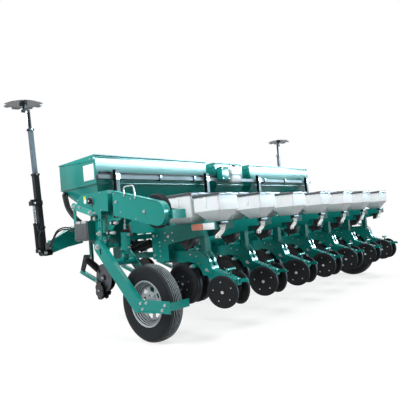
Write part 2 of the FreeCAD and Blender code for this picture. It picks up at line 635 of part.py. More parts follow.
# ---- gauge wheels, one pair a row ------------------------------------------------------------
for i, x in enumerate(row_xs):
    pair = []
    for s in (-1, 1):
        profile = [(GAUGE_IN, 160), (GAUGE_IN, GAUGE_R - 12), (GAUGE_IN + 14, GAUGE_R),
                   (GAUGE_OUT - 18, GAUGE_R),
                   (GAUGE_OUT, GAUGE_R - 16), (GAUGE_OUT, 172), (98, 150), (98, 60), (108, 44),
                   (108, GAUGE_AXLE_R + RUN), (74, GAUGE_AXLE_R + RUN), (74, 34), (88, 44), (88, 150),
                   (76, 160)]
        pair.append(lathe_x([(s * a, r) for a, r in profile], x, GAUGE_Y, GAUGE_Z))
    save("gauge_wheels_%d" % (i + 1), pair)

# ---- hoppers: front seed hopper and rear granule hopper on each row ---------------------------
NECK_HALF = 50.0
THROAT_H = 25.0
RH_NECK = (-1135.0, -1010.0)
FH_NECK = (-740.0, -640.0)


def hopper(x, y0, y1, crease, top_z, neck, drop, inset):
    """Tapered hopper with its neck, shrunk by the wall thickness for the inside."""
    h = HOP_HALF - inset
    n = NECK_HALF - inset
    upper = box(x - h, x + h, y0 + inset, y1 - inset, crease, top_z + (1 if inset else 0))
    cone = frustum((x - n, x + n, neck[0] + inset, neck[1] - inset, crease - drop),
                   (x - h, x + h, y0 + inset, y1 - inset, crease))
    mouth = crease - drop - THROAT_H - (1 if inset else 0)
    throat = box(x - n, x + n, neck[0] + inset, neck[1] - inset, mouth, crease - drop)
    return join([upper, cone, throat])


RH_DROP = 105.0
FH_DROP = 90.0
hoppers = []
for x in row_xs:
    for sizes in ((RH_Y0, RH_Y1, RH_CREASE, RH_TOP, RH_NECK, RH_DROP),
                  (FH_Y0, FH_Y1, FH_CREASE, FH_TOP, FH_NECK, FH_DROP)):
        hoppers.append(hopper(x, *sizes, 0).cut(hopper(x, *sizes, HOP_WALL)))
save("hoppers", hoppers)


def hopper_lid(x, y0, y1, rim):
    over = HOP_LID_OVER
    z = rim + SEAT
    slab = box(x - HOP_HALF - over, x + HOP_HALF + over, y0 - over, y1 + over, z, z + HOP_LID_T)
    edges = [e for e in slab.Edges if abs(e.BoundBox.ZMin - z - HOP_LID_T) < 0.1 and e.BoundBox.ZLength < 0.1]
    return slab.makeFillet(10, edges)


for i, x in enumerate(row_xs):
    save("hopper_lid_%d" % (i + 1), [hopper_lid(x, RH_Y0, RH_Y1, RH_TOP)])
save("front_hopper_lids", [hopper_lid(x, FH_Y0, FH_Y1, FH_TOP) for x in row_xs])

# ---- seed meters under the front hoppers and the granule spouts under the rear ones ------------
METER_Y = -690.0
METER_Z = 938.0
METER_R = 92.0
meters = []
for x in row_xs:
    meter_top = FH_CREASE - FH_DROP - THROAT_H
    drum = rod((x - 52, METER_Y, METER_Z), (x + 44, METER_Y, METER_Z), METER_R)
    cap = rod((x - 70, METER_Y, METER_Z), (x - 52, METER_Y, METER_Z), 58)
    neck = box(x - NECK_HALF, x + NECK_HALF, *FH_NECK, METER_Z + 40, meter_top)
    chute = box(x - 12, x + 12, METER_Y + 30, METER_Y + 62, BODY_Z1, METER_Z - 40)
    meters.append(join([drum, cap, neck, chute]))
    spout_top = RH_CREASE - RH_DROP - THROAT_H
    spout = frustum((x - 20, x + 20, -1068, -1030, 925), (x - 42, x + 42, -1128, -1030, spout_top - 20))
    inner = BEAM_HALF - BEAM_T
    flange = box(x - inner, x + inner, BEAM_Y0 + END_T, RH_NECK[1] + 4, spout_top - 20, spout_top)
    meters.append(join([spout, flange]))
save("seed_meters", meters)

# ---- fertiliser tanks: sheet metal, hopper-bottomed, open at the top ---------------------------
LID_Y0 = 245.0
LID_Y1 = 977.0
LID_Z0 = 1925.0
LID_Z1 = 1907.0
LID_HINGE = (262.0, 1893.0)
LID_PIN_R = 6.0
CHEEK_T = 4.0
CHEEK_GAP = 2.0


def lid_under(y):
    """Height of the lid's underside, which falls towards the front."""
    return LID_Z0 + (LID_Z1 - LID_Z0) * (y - LID_Y0) / (LID_Y1 - LID_Y0)


def tank_form(x0, x1, t):
    """Outside of a tank, or its inside when t is the wall: straight sides over a tapered bottom."""
    slope0 = TANK_OUT_SLOPE if abs(x0) == TANK_END else TANK_IN_SLOPE
    slope1 = TANK_OUT_SLOPE if abs(x1) == TANK_END else TANK_IN_SLOPE
    front_top = lid_under(TANK_FRONT) - SEAT
    upper = [(TANK_REAR + t, TANK_TOP), (TANK_REAR + t, TANK_CREASE), (TANK_FRONT - t, TANK_CREASE),
             (TANK_FRONT - t, front_top), (TANK_REAR + 3 * TANK_WALL, TANK_TOP)]
    funnel = frustum((x0 + slope0 + t, x1 - slope1 - t, TANK_BASE_Y0 + t, TANK_BASE_Y1 - t, TANK_BASE + t),
                     (x0 + t, x1 - t, TANK_REAR + t, TANK_FRONT - t, TANK_CREASE))
    return join([plate_yz(upper, x0 + t, x1 - t), funnel])


def tank(x0, x1):
    shell = tank_form(x0, x1, 0).cut(tank_form(x0, x1, TANK_WALL))
    return shell.cut(rod((x0 - 50, *LID_HINGE), (x1 + 50, *LID_HINGE), LID_PIN_R + RUN))


def meter_box(x):
    feed = box(x - 60, x + 60, 560, 700, 1240, TANK_BASE)
    return feed.fuse(box(x - 60, x + 60, 640, 700, TANK_BASE, TANK_BASE + 30))


spans = {"left": (-TANK_END, -TANK_IN), "middle": (-MID_HALF, MID_HALF), "right": (TANK_IN, TANK_END)}
tanks = []
for name, (x0, x1) in spans.items():
    shell = tank(x0, x1)
    outside = tank_form(x0, x1, 0)
    feeds = [meter_box(x).cut(outside) for x in row_xs if x0 < x < x1]
    tanks.append(join([shell] + feeds))
save("fertilizer_tanks", tanks)

def tank_lid(x0, x1):
    side = CHEEK_T + CHEEK_GAP
    roof = [(LID_Y0, LID_Z0), (LID_Y0, LID_Z0 + LID_T), (LID_Y1, LID_Z1 + LID_T), (LID_Y1, LID_Z1)]
    bits = [plate_yz(roof, x0 - side, x1 + side)]
    for x, s in ((x0, -1), (x1, 1)):
        cheek = [(252, lid_under(252) + 2), (965, lid_under(965) + 2), (965, 1906), (252, 1866)]
        bits.append(plate_yz(cheek, x + s * CHEEK_GAP, x + s * side))
        bits.append(rod((x - s * TANK_WALL, *LID_HINGE), (x + s * (side + 5), *LID_HINGE), LID_PIN_R))
    return join(bits)


for name, span in spans.items():
    save("tank_lid_" + name, [tank_lid(*span)])

# ---- tank frame: rear uprights with the square rail, saddles and front posts --------------------
POST_XS = (612.0, 2125.0)
POST_W = 54.0
POST_Y0 = 150.0
POST_FOOT = 30.0
RAIL_SEC = 48.0
RAIL_Z = 1684.0
RAIL_HALF = 2345.0
SADDLE_XS = (200.0, 640.0, 1500.0, 2115.0)
PROP_XS = (620.0, 1900.0)
rail_y0 = POST_Y0 + 48.0
frame_solids = [box(-RAIL_HALF, RAIL_HALF, rail_y0, rail_y0 + RAIL_SEC, RAIL_Z - RAIL_SEC / 2,
                    RAIL_Z + RAIL_SEC / 2)]
for x in POST_XS:
    for s in (-1, 1):
        a = s * x
        frame_solids.append(box(a - POST_W / 2, a + POST_W / 2, POST_Y0, rail_y0, main_z1, 1762))
        frame_solids.append(box(a - POST_W / 2, a + POST_W / 2, POST_Y0, main_y1, main_z1,
                                main_z1 + POST_FOOT))
support_bits = [join(frame_solids)]
for x in SADDLE_XS:
    for s in (-1, 1):
        a = s * x
        support_bits.append(box(a - 28, a + 28, main_y0 + 10, main_y1 - 60, main_z1, TANK_BASE))
for x in PROP_XS:
    for s in (-1, 1):
        a = s * x
        support_bits.append(box(a - 25, a + 25, TANK_FRONT, TANK_FRONT + 45, front_z1, TANK_CREASE + 60))
tank_frame = join(support_bits)
save("tank_frame", [tank_frame])

# ---- vacuum blower on the front toolbar with its duct --------------------------------------------
FAN_X = -300.0
FAN_Z = 1420.0
FAN_R = 180.0
fan_y0 = front_y1 + 2.0
drum = rod((FAN_X, fan_y0, FAN_Z), (FAN_X, fan_y0 + 64, FAN_Z), FAN_R)
eye = rod((FAN_X, fan_y0 + 64, FAN_Z), (FAN_X, fan_y0 + 68, FAN_Z), 70)
DUCT_Z = 1290.0
MANIFOLD_Y = 850.0
MANIFOLD_R = 40.0
duct = box(FAN_X - 45, FAN_X + 45, MANIFOLD_Y + 20, fan_y0, DUCT_Z - 30, DUCT_Z + 30)
seat = box(FAN_X - 60, FAN_X + 60, front_y0 + 30, fan_y0 + 60, front_z1, FAN_Z - FAN_R + 20)
HOSE_DX = 110.0         # each row's vacuum hose leaves the manifold this far right of the row
MANIFOLD_OVER = 60.0
manifold_ends = (row_xs[0] + HOSE_DX - MANIFOLD_OVER, row_xs[-1] + HOSE_DX + MANIFOLD_OVER)
manifold = rod((manifold_ends[0], MANIFOLD_Y, DUCT_Z), (manifold_ends[1], MANIFOLD_Y, DUCT_Z), MANIFOLD_R)
blower = join([drum, eye, duct, seat, manifold])
save("blower", [blower.cut(headstock).cut(toolbar)])

# ---- hoses: vacuum hose to each seed meter, fertiliser hose to each opener --------------------------
HOSE_R = 22.0
hoses = []
for x in row_xs:
    path = [(x + HOSE_DX, MANIFOLD_Y - 30, DUCT_Z), (x + HOSE_DX, 420, 1268), (x + 70, 340, 1130),
            (x + 20, 200, 905),
            (x, -60, 905), (x, METER_Y + METER_R - 2, METER_Z - 8)]
    vac = tube_path(path, [150, 130, 130, 260], HOSE_R)
    hoses.append(vac)
save("air_hoses", [h.cut(blower).cut(m) for h, m in zip(hoses, meters[0::2])])

# ---- fertiliser openers: clamp, shank, spring, link, disc pair and row-cleaner wheels -----------------
CLAMP_HALF = EAR_IN - 4.0


def opener(x):
    bits = [box(x - CLAMP_HALF, x + CLAMP_HALF, front_y1, front_y1 + 8, front_z0 - 15, front_z1 + 20),
            box(x - CLAMP_HALF, x + CLAMP_HALF, front_y0, front_y1 + 8, front_z0 - 15, front_z0),
            box(x - 16, x + 16, 985, 1025, 780, front_z0 - 15)]
    bracket = [(975, 830), (1165, 830), (1255, 650), (1255, 590), (1205, 590), (1120, 735), (975, 755)]
    bits.append(plate_yz(bracket, x - 8, x + 8))
    bits.append(rod((x, 1155, 795), (x, 838, 618), 27))
    bits.append(bar_yz((1234, 614), (905, 500), 38, x - 26, x + 26))
    tail = [(930, 530), (870, 640), (760, 660), (720, 560), (790, 470), (830, 370), (880, 370), (950, 470)]
    bits.append(plate_yz(tail, x - 10, x + 10))
    for s in (-1, 1):
        disc = Part.makeCylinder(165, 4, V(s * 6, 0, 0), V(s, 0, 0))
        disc.rotate(V(s * 6, 165, 0), V(0, 0, 1), s * 4)
        disc.translate(V(x, 762, 548))
        bits.append(disc)
        bits.append(rod((x, 762, 548), (x + s * 34, 762, 548), 34))
        star = Part.makeCylinder(112, 12, V(0, 0, 0), V(1, 0, 0))
        for k in range(8):
            a = math.radians(k * 45.0)
            notch = Part.makeCylinder(22, 20, V(-4, 118 * math.cos(a), 118 * math.sin(a)), V(1, 0, 0))
            star = star.cut(notch)
        star.rotate(V(0, 0, 0), V(0, 0, 1), s * 12)
        star.translate(V(x + s * 34 - 6, 850, 395))
        bits.append(star)
    bits.append(rod((x - 40, 850, 395), (x + 40, 850, 395), 14))
    return join(bits)


openers = [opener(x) for x in row_xs]
save("fertilizer_openers", [o.cut(toolbar) for o in openers])

# ---- row markers: folded arm with its ram, and the notched disc -----------------------------------------
LOW_SEC = 60.0
MID_SEC = 45.0
TIP_R = 18.0
SEC_1 = 1820.0
SEC_2 = 2346.0
RAM_OUT = 62.0
HUB_HALF = 36.0
DISC_PIN_R = 12.0
NOTCHES = 8
NOTCH_R = 40.0


def lean(shape, s):
    """Tip an upright marker piece outwards about its pivot."""
    shape.rotate(V(s * MARK_X, MARK_Y, MARK_Z), V(0, 1, 0), s * MARK_LEAN)
    return shape


def across(x, s, reach, y_half, z0, z1):
    """Block from the arm's centre line outwards."""
    return box(x, x + s * reach, MARK_Y - y_half, MARK_Y + y_half, z0, z1)


def marker_arm(s):
    x = s * MARK_X
    low = LOW_SEC / 2
    mid = MID_SEC / 2
    bits = [rod((x, MARK_Y - HUB_HALF, MARK_Z), (x, MARK_Y + HUB_HALF, MARK_Z), 32),
            rod((x, CARRIER_Y0, MARK_Z), (x, CARRIER_Y1, MARK_Z), MARK_PIN_R),
            box(x - low, x + low, MARK_Y - low, MARK_Y + low, MARK_Z, SEC_1),
            box(x - mid, x + mid, MARK_Y - mid, MARK_Y + mid, SEC_1, SEC_2),
            rod((x, MARK_Y, SEC_2), (x, MARK_Y, MARK_TIP_Z), TIP_R),
            across(x, s, DISC_OFF + 24, 20, MARK_TIP_Z - 30, MARK_TIP_Z),
            rod((x + s * DISC_OFF, MARK_Y, MARK_TIP_Z), (x + s * DISC_OFF, MARK_Y, DISC_Z + 16), DISC_PIN_R),
            rod((x + s * RAM_OUT, MARK_Y, 950), (x + s * RAM_OUT, MARK_Y, 1250), 24),
            rod((x + s * RAM_OUT, MARK_Y, 1250), (x + s * RAM_OUT, MARK_Y, 1500), 11),
            across(x, s, RAM_OUT + 22, 22, 1470, 1530),
            across(x, s, RAM_OUT + 22, 22, 925, 965)]
    return join(bits)


def marker_disc(s):
    cx = s * (MARK_X + DISC_OFF)
    dish = Part.makeCone(DISC_R, DISC_R - 40, 14, V(cx, MARK_Y, DISC_Z - 7))
    dish = dish.cut(Part.makeCone(DISC_R - 6, DISC_R - 46, 14, V(cx, MARK_Y, DISC_Z - 12)))
    hub = rod((cx, MARK_Y, DISC_Z - 26), (cx, MARK_Y, DISC_Z + 12), 42)
    disc = join([dish, hub]).cut(rod((cx, MARK_Y, DISC_Z - 60), (cx, MARK_Y, DISC_Z + 60), DISC_PIN_R + RUN))
    for k in range(NOTCHES):
        a = math.radians((k + 0.5) * 360.0 / NOTCHES)
        spot = V(cx + (DISC_R + 2) * math.cos(a), MARK_Y + (DISC_R + 2) * math.sin(a), DISC_Z - 40)
        disc = disc.cut(Part.makeCylinder(NOTCH_R, 80, spot))
    return disc


for s, side in ((-1, "left"), (1, "right")):
    save("marker_arm_" + side, [lean(marker_arm(s), s)])
    save("marker_disc_" + side, [lean(marker_disc(s), s)])
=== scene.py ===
import math

import bmesh
import bpy
from mathutils import Matrix, Vector


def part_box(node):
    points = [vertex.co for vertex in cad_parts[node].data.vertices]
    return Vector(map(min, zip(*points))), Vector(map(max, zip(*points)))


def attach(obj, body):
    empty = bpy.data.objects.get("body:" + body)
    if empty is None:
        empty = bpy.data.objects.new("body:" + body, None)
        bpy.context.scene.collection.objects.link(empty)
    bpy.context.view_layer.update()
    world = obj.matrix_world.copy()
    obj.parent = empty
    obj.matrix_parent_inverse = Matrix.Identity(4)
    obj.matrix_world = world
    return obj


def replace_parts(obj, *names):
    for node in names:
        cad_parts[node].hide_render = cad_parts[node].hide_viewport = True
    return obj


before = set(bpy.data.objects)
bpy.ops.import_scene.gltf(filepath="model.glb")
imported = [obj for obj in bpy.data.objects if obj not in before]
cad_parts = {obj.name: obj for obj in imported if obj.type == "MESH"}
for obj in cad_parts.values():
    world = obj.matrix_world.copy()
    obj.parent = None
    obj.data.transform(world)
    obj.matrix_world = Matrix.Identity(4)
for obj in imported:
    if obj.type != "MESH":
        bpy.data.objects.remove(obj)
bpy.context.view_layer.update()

# ---- Camera --------------------------------------------------------------------------
# Stands behind the left end at eye height, and looks along the row units. The hand-held
# tilt is a roll of the camera, because the machine itself is level on its wheels.
heading = 0.8435
rise = 0.0575
tilt = -0.0903
ahead = Vector((math.sin(heading) * math.cos(rise), math.cos(heading) * math.cos(rise), math.sin(rise)))
level = Vector((math.cos(heading), -math.sin(heading), 0))
upright = level.cross(ahead)
across = level * math.cos(tilt) + upright * math.sin(tilt)
above = upright * math.cos(tilt) - level * math.sin(tilt)
camera = bpy.data.objects.new("camera", bpy.data.cameras.new("camera"))
camera.data.lens = 40.67
camera.data.sensor_width = 36
camera.data.clip_end = 200
camera.matrix_world = Matrix((across, above, -ahead)).transposed().to_4x4()
camera.matrix_world.translation = (-5.2215, -3.7783, 1.0586)
bpy.context.scene.collection.objects.link(camera)
bpy.context.scene.camera = camera

# ---- Studio --------------------------------------------------------------------------
# A pale floor and white surroundings under soft lamps: high on the left, high behind, above
# and in front, with a faint low one behind. A panel to the right is seen only in glossy paint.


def add(tree, kind, feeds=(), **settings):
    """Adds a shader node. Feeds pairs an input with its value, or with the output that drives it."""
    made = tree.nodes.new(kind)
    for name, value in settings.items():
        setattr(made, name, value)
    for name, value in dict(feeds).items():
        if isinstance(value, bpy.types.NodeSocket):
            tree.links.new(value, made.inputs[name])
        else:
            made.inputs[name].default_value = value
    return made


def mesh_of(name, bm):
    """The mesh of a bmesh that is done with."""
    mesh = bpy.data.meshes.new(name)
    bm.to_mesh(mesh)
    bm.free()
    return mesh


def linear(code):
    """An sRGB hex colour as linear red, green, blue and alpha."""
    parts = [int(code[i:i + 2], 16) / 255 for i in (0, 2, 4)]
    return [c / 12.92 if c <= 0.04045 else ((c + 0.055) / 1.055) ** 2.4 for c in parts] + [1.0]


def seen_directly(tree):
    """One for camera, mirror and glass rays, and nought for light that scatters on."""
    path = add(tree, "ShaderNodeLightPath")
    shiny = add(tree, "ShaderNodeMath", {0: path.outputs["Is Glossy Ray"],
                                         1: path.outputs["Is Transmission Ray"]}, operation="MAXIMUM")
    return add(tree, "ShaderNodeMath", {0: path.outputs["Is Camera Ray"], 1: shiny.outputs[0]},
               operation="MAXIMUM").outputs[0]


world = bpy.data.worlds.new("studio")
world.use_nodes = True
world.node_tree.nodes.clear()
room = world.node_tree
white_room = add(room, "ShaderNodeBackground", {"Color": linear("FFFFFF"), "Strength": 1.0})
fill_light = add(room, "ShaderNodeBackground", {"Color": linear("F2F6FF"), "Strength": 0.10})
both = add(room, "ShaderNodeMixShader", {0: seen_directly(room), 1: fill_light.outputs[0],
                                         2: white_room.outputs[0]})
add(room, "ShaderNodeOutputWorld", {"Surface": both.outputs[0]})
bpy.context.scene.world = world

FLOOR_HALF = 30.0
bm = bmesh.new()
bmesh.ops.create_grid(bm, x_segments=1, y_segments=1, size=FLOOR_HALF)
floor = bpy.data.objects.new("floor", mesh_of("floor", bm))
bpy.context.scene.collection.objects.link(floor)
floor_coat = bpy.data.materials.new("pale_screed")
floor_coat.use_nodes = True
tree = floor_coat.node_tree
tree.nodes.clear()
matt = add(tree, "ShaderNodeBsdfDiffuse", {"Color": linear("7E8080")})
lit = add(tree, "ShaderNodeBsdfDiffuse", {"Color": linear("F4F4F4")})
white = add(tree, "ShaderNodeEmission", {"Color": linear("FFFFFF"), "Strength": 1.0})
spot = add(tree, "ShaderNodeTexCoord")
reach = add(tree, "ShaderNodeVectorMath", {0: spot.outputs["Object"]}, operation="LENGTH")
far_off = add(tree, "ShaderNodeMapRange", {"Value": reach.outputs["Value"], "From Min": 2.4, "From Max": 5.5,
                                           "To Min": 0.7, "To Max": 1.0}, interpolation_type="SMOOTHSTEP")
bright = add(tree, "ShaderNodeMixShader", {0: far_off.outputs["Result"], 1: lit.outputs[0],
                                           2: white.outputs[0]})
either = add(tree, "ShaderNodeMixShader", {0: seen_directly(tree), 1: matt.outputs[0],
                                           2: bright.outputs[0]})
add(tree, "ShaderNodeOutputMaterial", {"Surface": either.outputs[0]})
floor.data.materials.append(floor_coat)
bpy.context.scene.view_settings.view_transform = "Standard"


def lamp(name, at, aim, width, height, watts, tint="FFFFFF"):
    """A soft rectangular lamp at one point, turned to another."""
    made = bpy.data.objects.new(name, bpy.data.lights.new(name, "AREA"))
    made.data.shape = "RECTANGLE"
    made.data.size = width
    made.data.size_y = height
    made.data.energy = watts
    made.data.color = linear(tint)[:3]
    made.location = at
    made.rotation_euler = (Vector(aim) - Vector(at)).to_track_quat("-Z", "Y").to_euler()
    bpy.context.scene.collection.objects.link(made)
    return made


lamp("key_left", (-8.0, 1.5, 6.5), (-1.0, -0.2, 0.9), 5, 4, 900).visible_glossy = False
lamp("rear_high", (1.0, -6.0, 9.0), (0, -0.8, 1.0), 8, 3, 1020).visible_glossy = False
lamp("mirror_panel", (8.5, -8.5, 3.5), (0.6, 0.2, 1.9), 11, 2.6, 6000, "C8EEFF").visible_diffuse = False
lamp("top_soft", (0, 0.5, 8.0), (0, 0, 0), 8, 5, 420)
lamp("front_fill", (5, 9, 4.0), (0, 0, 1.0), 7, 4, 260)
lamp("low_fill", (-3.0, -6.0, 0.5), (0, -0.9, 1.2), 6, 0.8, 60).visible_glossy = False

# ---- Toolbars ------------------------------------------------------------------------
# Two square steel tubes across the machine, tied by short bars, welded, shot-blasted and
# coated green. An end plate closes the rear one, held by four zinc-plated bolts.


def coat(name, code, roughness, tone=0.10, tone_mm=300, pit=0.12, pit_mm=30, **shader):
    """A finish whose tone drifts over tone_mm and whose skin waves every pit_mm."""
    made = bpy.data.materials.new(name)
    made.use_nodes = True
    tree = made.node_tree
    skin = tree.nodes["Principled BSDF"]
    for socket, value in shader.items():
        skin.inputs[socket.replace("_", " ")].default_value = value
    place = add(tree, "ShaderNodeTexCoord").outputs["Object"]
    drift = add(tree, "ShaderNodeTexNoise", {"Vector": place, "Scale": 1000 / tone_mm, "Detail": 4.0})
    shade = add(tree, "ShaderNodeValToRGB", {"Fac": drift.outputs["Fac"]})
    base = linear(code)
    for stop, at, light in ((0, 0.3, 1 - tone), (1, 0.7, 1 + tone)):
        shade.color_ramp.elements[stop].position = at
        shade.color_ramp.elements[stop].color = [min(1.0, c * light) for c in base[:3]] + [1.0]
    worn = add(tree, "ShaderNodeMapRange", {"Value": drift.outputs["Fac"], "From Min": 0.3, "From Max": 0.7,
                                            "To Min": roughness * 0.85, "To Max": roughness * 1.15})
    waves = add(tree, "ShaderNodeTexNoise", {"Vector": place, "Scale": 1000 / pit_mm, "Detail": 2.0})
    bump = add(tree, "ShaderNodeBump", {"Height": waves.outputs["Fac"], "Strength": pit,
                                        "Distance": pit_mm / 8000})
    tree.links.new(shade.outputs["Color"], skin.inputs["Base Color"])
    tree.links.new(worn.outputs["Result"], skin.inputs["Roughness"])
    tree.links.new(bump.outputs["Normal"], skin.inputs["Normal"])
    return made


# Polyester powder coat, sprayed and baked: a deep even colour under a hard glossy skin whose
# orange peel, really 3 mm across, is drawn ten times as coarse so that it shows.
green = coat("green_powder_coat", "17837B", 0.22, tone=0.07, tone_mm=700, Specular_IOR_Level=0.22)
# The same coat a shade lighter on hems and loose plates: a painted highlight along edges that catch the
# light.
highlight_green = coat("hem_painted_highlight", "26938A", 0.3, tone=0.05, tone_mm=200)
# Zinc-plated steel of bolts, washers and pins: pale, a little blue, half bright.
zinc = coat("zinc_plate", "C9CED0", 0.32, tone=0.12, tone_mm=15, pit=0.2, pit_mm=6, Metallic=0.85)
# Black enamel over steel or cast brackets: near black, satin.
black = coat("black_enamel", "101215", 0.42, tone=0.15, tone_mm=120, pit=0.15, pit_mm=20,
             Specular_IOR_Level=0.2)
# Moulded polyamide caps and plugs: a dull dark grey with a fine grain.
grey_cap = coat("grey_polyamide", "4E5355", 0.55, tone=0.08, tone_mm=60, pit_mm=8)


def fit(name, data, body):
    """Links a mesh or a curve as a piece of the given body."""
    made = bpy.data.objects.new(name, data)
    bpy.context.scene.collection.objects.link(made)
    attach(made, body)
    return made


def show(name, mesh, body, coats, smooth_to=40):
    """Fits a mesh with its coats, smooth up to an angle in degrees."""
    for one in coats:
        mesh.materials.append(one)
    mesh.shade_smooth()
    mesh.set_sharp_from_angle(angle=math.radians(smooth_to))
    return fit(name, mesh, body)


def merge(bm):
    """Joins the points of a bmesh that lie in one place."""
    bmesh.ops.remove_doubles(bm, verts=bm.verts, dist=2e-5)


def piece(name, bm, body, coats, smooth_to=40, outward=True):
    """A finished piece from a bmesh, its doubles merged and its faces turned outward."""
    merge(bm)
    if outward:
        bmesh.ops.recalc_face_normals(bm, faces=bm.faces)
    return show(name, mesh_of(name, bm), body, coats, smooth_to)


def soften(bm, edges, width, segments=2):
    """Rounds those edges off."""
    bmesh.ops.bevel(bm, geom=edges, offset=width, offset_type="OFFSET", segments=segments, profile=0.5,
                    affect="EDGES", material=-1, clamp_overlap=True)


def dress(node, body, coats, edge=0.004, pick=None, coat_line=None):
    """The built solids of a node with their sharp edges broken, as grinding and paint leave them.
    A coat line is a distance either side of the middle where one coat ends and another starts."""
    bm = bmesh.new()
    bm.from_mesh(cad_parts[node].data)
    merge(bm)
    bmesh.ops.dissolve_limit(bm, angle_limit=math.radians(0.6), verts=bm.verts, edges=bm.edges)
    if coat_line:
        for side in (-1, 1):
            bmesh.ops.bisect_plane(bm, geom=bm.verts[:] + bm.edges[:] + bm.faces[:],
                                   plane_co=(side * coat_line, 0, 0), plane_no=(1, 0, 0))
    for face in bm.faces:
        face.material_index = pick(face.calc_center_median()) if pick else 0
    if edge:
        sharp = [e for e in bm.edges if e.is_manifold and e.calc_face_angle(0) > math.radians(35)]
        soften(bm, sharp, edge)
    made = show(node + "_finished", mesh_of(node + "_finished", bm), body, coats)
    flat = made.modifiers.new("even_faces", "WEIGHTED_NORMAL")
    flat.keep_sharp = True
    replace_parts(made, node)
    return made


def paint(verts, coat_number):
    """One coat for every face that hangs together with these vertices."""
    waiting = [v for v in verts if v.is_valid]
    reached = set(waiting)
    while waiting:
        for face in waiting.pop().link_faces:
            face.material_index = coat_number
            fresh = [v for v in face.verts if v not in reached]
            reached.update(fresh)
            waiting += fresh


def brick(bm, low, high):
    """The eight points of a sharp box between two corners."""
    low, high = Vector(low), Vector(high)
    place = Matrix.Translation((low + high) / 2) @ Matrix.Diagonal((*(high - low), 1))
    return bmesh.ops.create_cube(bm, size=1, matrix=place)["verts"]


def block(bm, low, high, edge=0.003, coat_number=0):
    """A box between two corners with its edges broken."""
    corners = brick(bm, low, high)
    paint(corners, coat_number)
    if edge:
        soften(bm, list({e for v in corners for e in v.link_edges}), edge)


def drum(bm, start, end, radius, coat_number=0, sides=28, end_radius=None):
    """A round bar or tapered boss between two points."""
    start, end = Vector(start), Vector(end)
    turn = (end - start).to_track_quat("Z", "Y").to_matrix().to_4x4()
    made = bmesh.ops.create_cone(bm, cap_ends=True, segments=sides, radius1=radius,
                                 radius2=radius if end_radius is None else end_radius,
                                 depth=(end - start).length,
                                 matrix=Matrix.Translation((start + end) / 2) @ turn)
    paint(made["verts"], coat_number)


def bolt(bm, at, out, size=0.024, coat_number=0):
    """A hexagon head of that width on its washer, standing out from a face."""
    at, out = Vector(at), Vector(out).normalized()
    drum(bm, at, at + out * 0.003, size * 0.72, coat_number, 14)
    drum(bm, at + out * 0.003, at + out * (0.003 + size * 0.42), size * 0.56, coat_number, 6)
    drum(bm, at + out * size * 0.42, at + out * (0.006 + size * 0.55), size * 0.26, coat_number, 8)


def bolts(bm, x, spots, out, size, coat_number=0):
    """Like bolts at one x, one at each (y, z), all standing out the same way."""
    for y, z in spots:
        bolt(bm, (x, y, z), out, size, coat_number)


X, Y, Z = Vector((1, 0, 0)), Vector((0, 1, 0)), Vector((0, 0, 1))
SIDES = ((-1, "left"), (1, "right"))
# The forks that hold the row markers, outboard of the green carriers, are enamelled black.
CARRIER_END = 2.500
END_PLATE_X = 2.414
dress("toolbar_frame", "frame", [green, black], 0.006,
      lambda at: 1 if abs(at.x) > CARRIER_END else 0, CARRIER_END)
bm = bmesh.new()
for side in (-1, 1):
    bolts(bm, side * END_PLATE_X, ((0.52, 1.05), (0.52, 1.19), (0.60, 1.05), (0.60, 1.19)), X * side, 0.016)
piece("end_plate_bolts", bm, "frame", [zinc])

# ---- Hitch and parking stands --------------------------------------------------------
# Plate A-frame welded to the front toolbar, with hardened lower pins and a bored top ear,
# and two square legs that slide in sleeves and are held by a spring pin with a ring.
CHEEK_X = 0.4825
LINCHPIN_X = 0.5655
dress("headstock", "frame", [green, zinc], 0.005,
      lambda at: 1 if abs(at.x) > CHEEK_X + 0.001 else 0)
bm = bmesh.new()
for side in (-1, 1):
    drum(bm, (side * LINCHPIN_X, 1.313, 0.695), (side * LINCHPIN_X, 1.313, 0.752), 0.005, 0, 10)
    bolts(bm, side * CHEEK_X, ((1.10, 0.98), (1.10, 1.19), (1.17, 1.19), (1.16, 1.06)), X * side, 0.024)
    bolts(bm, side * 0.050, ((1.115, 1.10), (1.115, 1.16), (1.115, 1.22)), X * side, 0.022)
piece("hitch_fastenings", bm, "frame", [zinc])
STAND_HOLES = 6
PIN_Z = 1.10
for side, name in SIDES:
    leg = "parking_stand_" + name
    dress(leg, leg, [zinc], 0.004)
    low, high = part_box(leg)
    middle = (low + high) / 2
    bm = bmesh.new()
    for k in range(STAND_HOLES):
        z = 0.34 + 0.10 * k
        drum(bm, (middle.x, middle.y + 0.0302, z), (middle.x, middle.y + 0.0312, z), 0.010, 0, 16)
    piece(leg + "_holes", bm, leg, [grey_cap])
    bm = bmesh.new()
    collar = Vector((middle.x, middle.y + 0.0385, PIN_Z))
    drum(bm, collar, collar + Y * 0.05, 0.012, 0, 16)
    drum(bm, collar + Y * 0.045 - X * 0.03, collar + Y * 0.045 + X * 0.03, 0.005, 0, 10)
    piece(leg + "_pin", bm, "frame", [zinc])

# ---- End frames ----------------------------------------------------------------------
# Two plasma-cut hanger plates each side carry a wheel arm and its ram, and a capped stub of
# square tube. The left one also holds a cover with a hand knob, a link plate and a strut.


PLATE_X, COVER_X, LINK_X = -2.400, -2.470, -2.485
KNOB = Vector((COVER_X, 0.178, 1.42))
BOSS_R = 0.034


def end_coat(at):
    """Grey for the boss of the knob, a lighter green as painted highlight on the link plate, green for the
    rest.
    """
    if at.x < COVER_X - 0.0001 and math.hypot(at.y - KNOB.y, at.z - KNOB.z) < BOSS_R:
        return 1
    return 2 if at.x < LINK_X + 0.0005 else 0


dress("end_frames", "frame", [green, grey_cap, highlight_green], 0.006, end_coat)
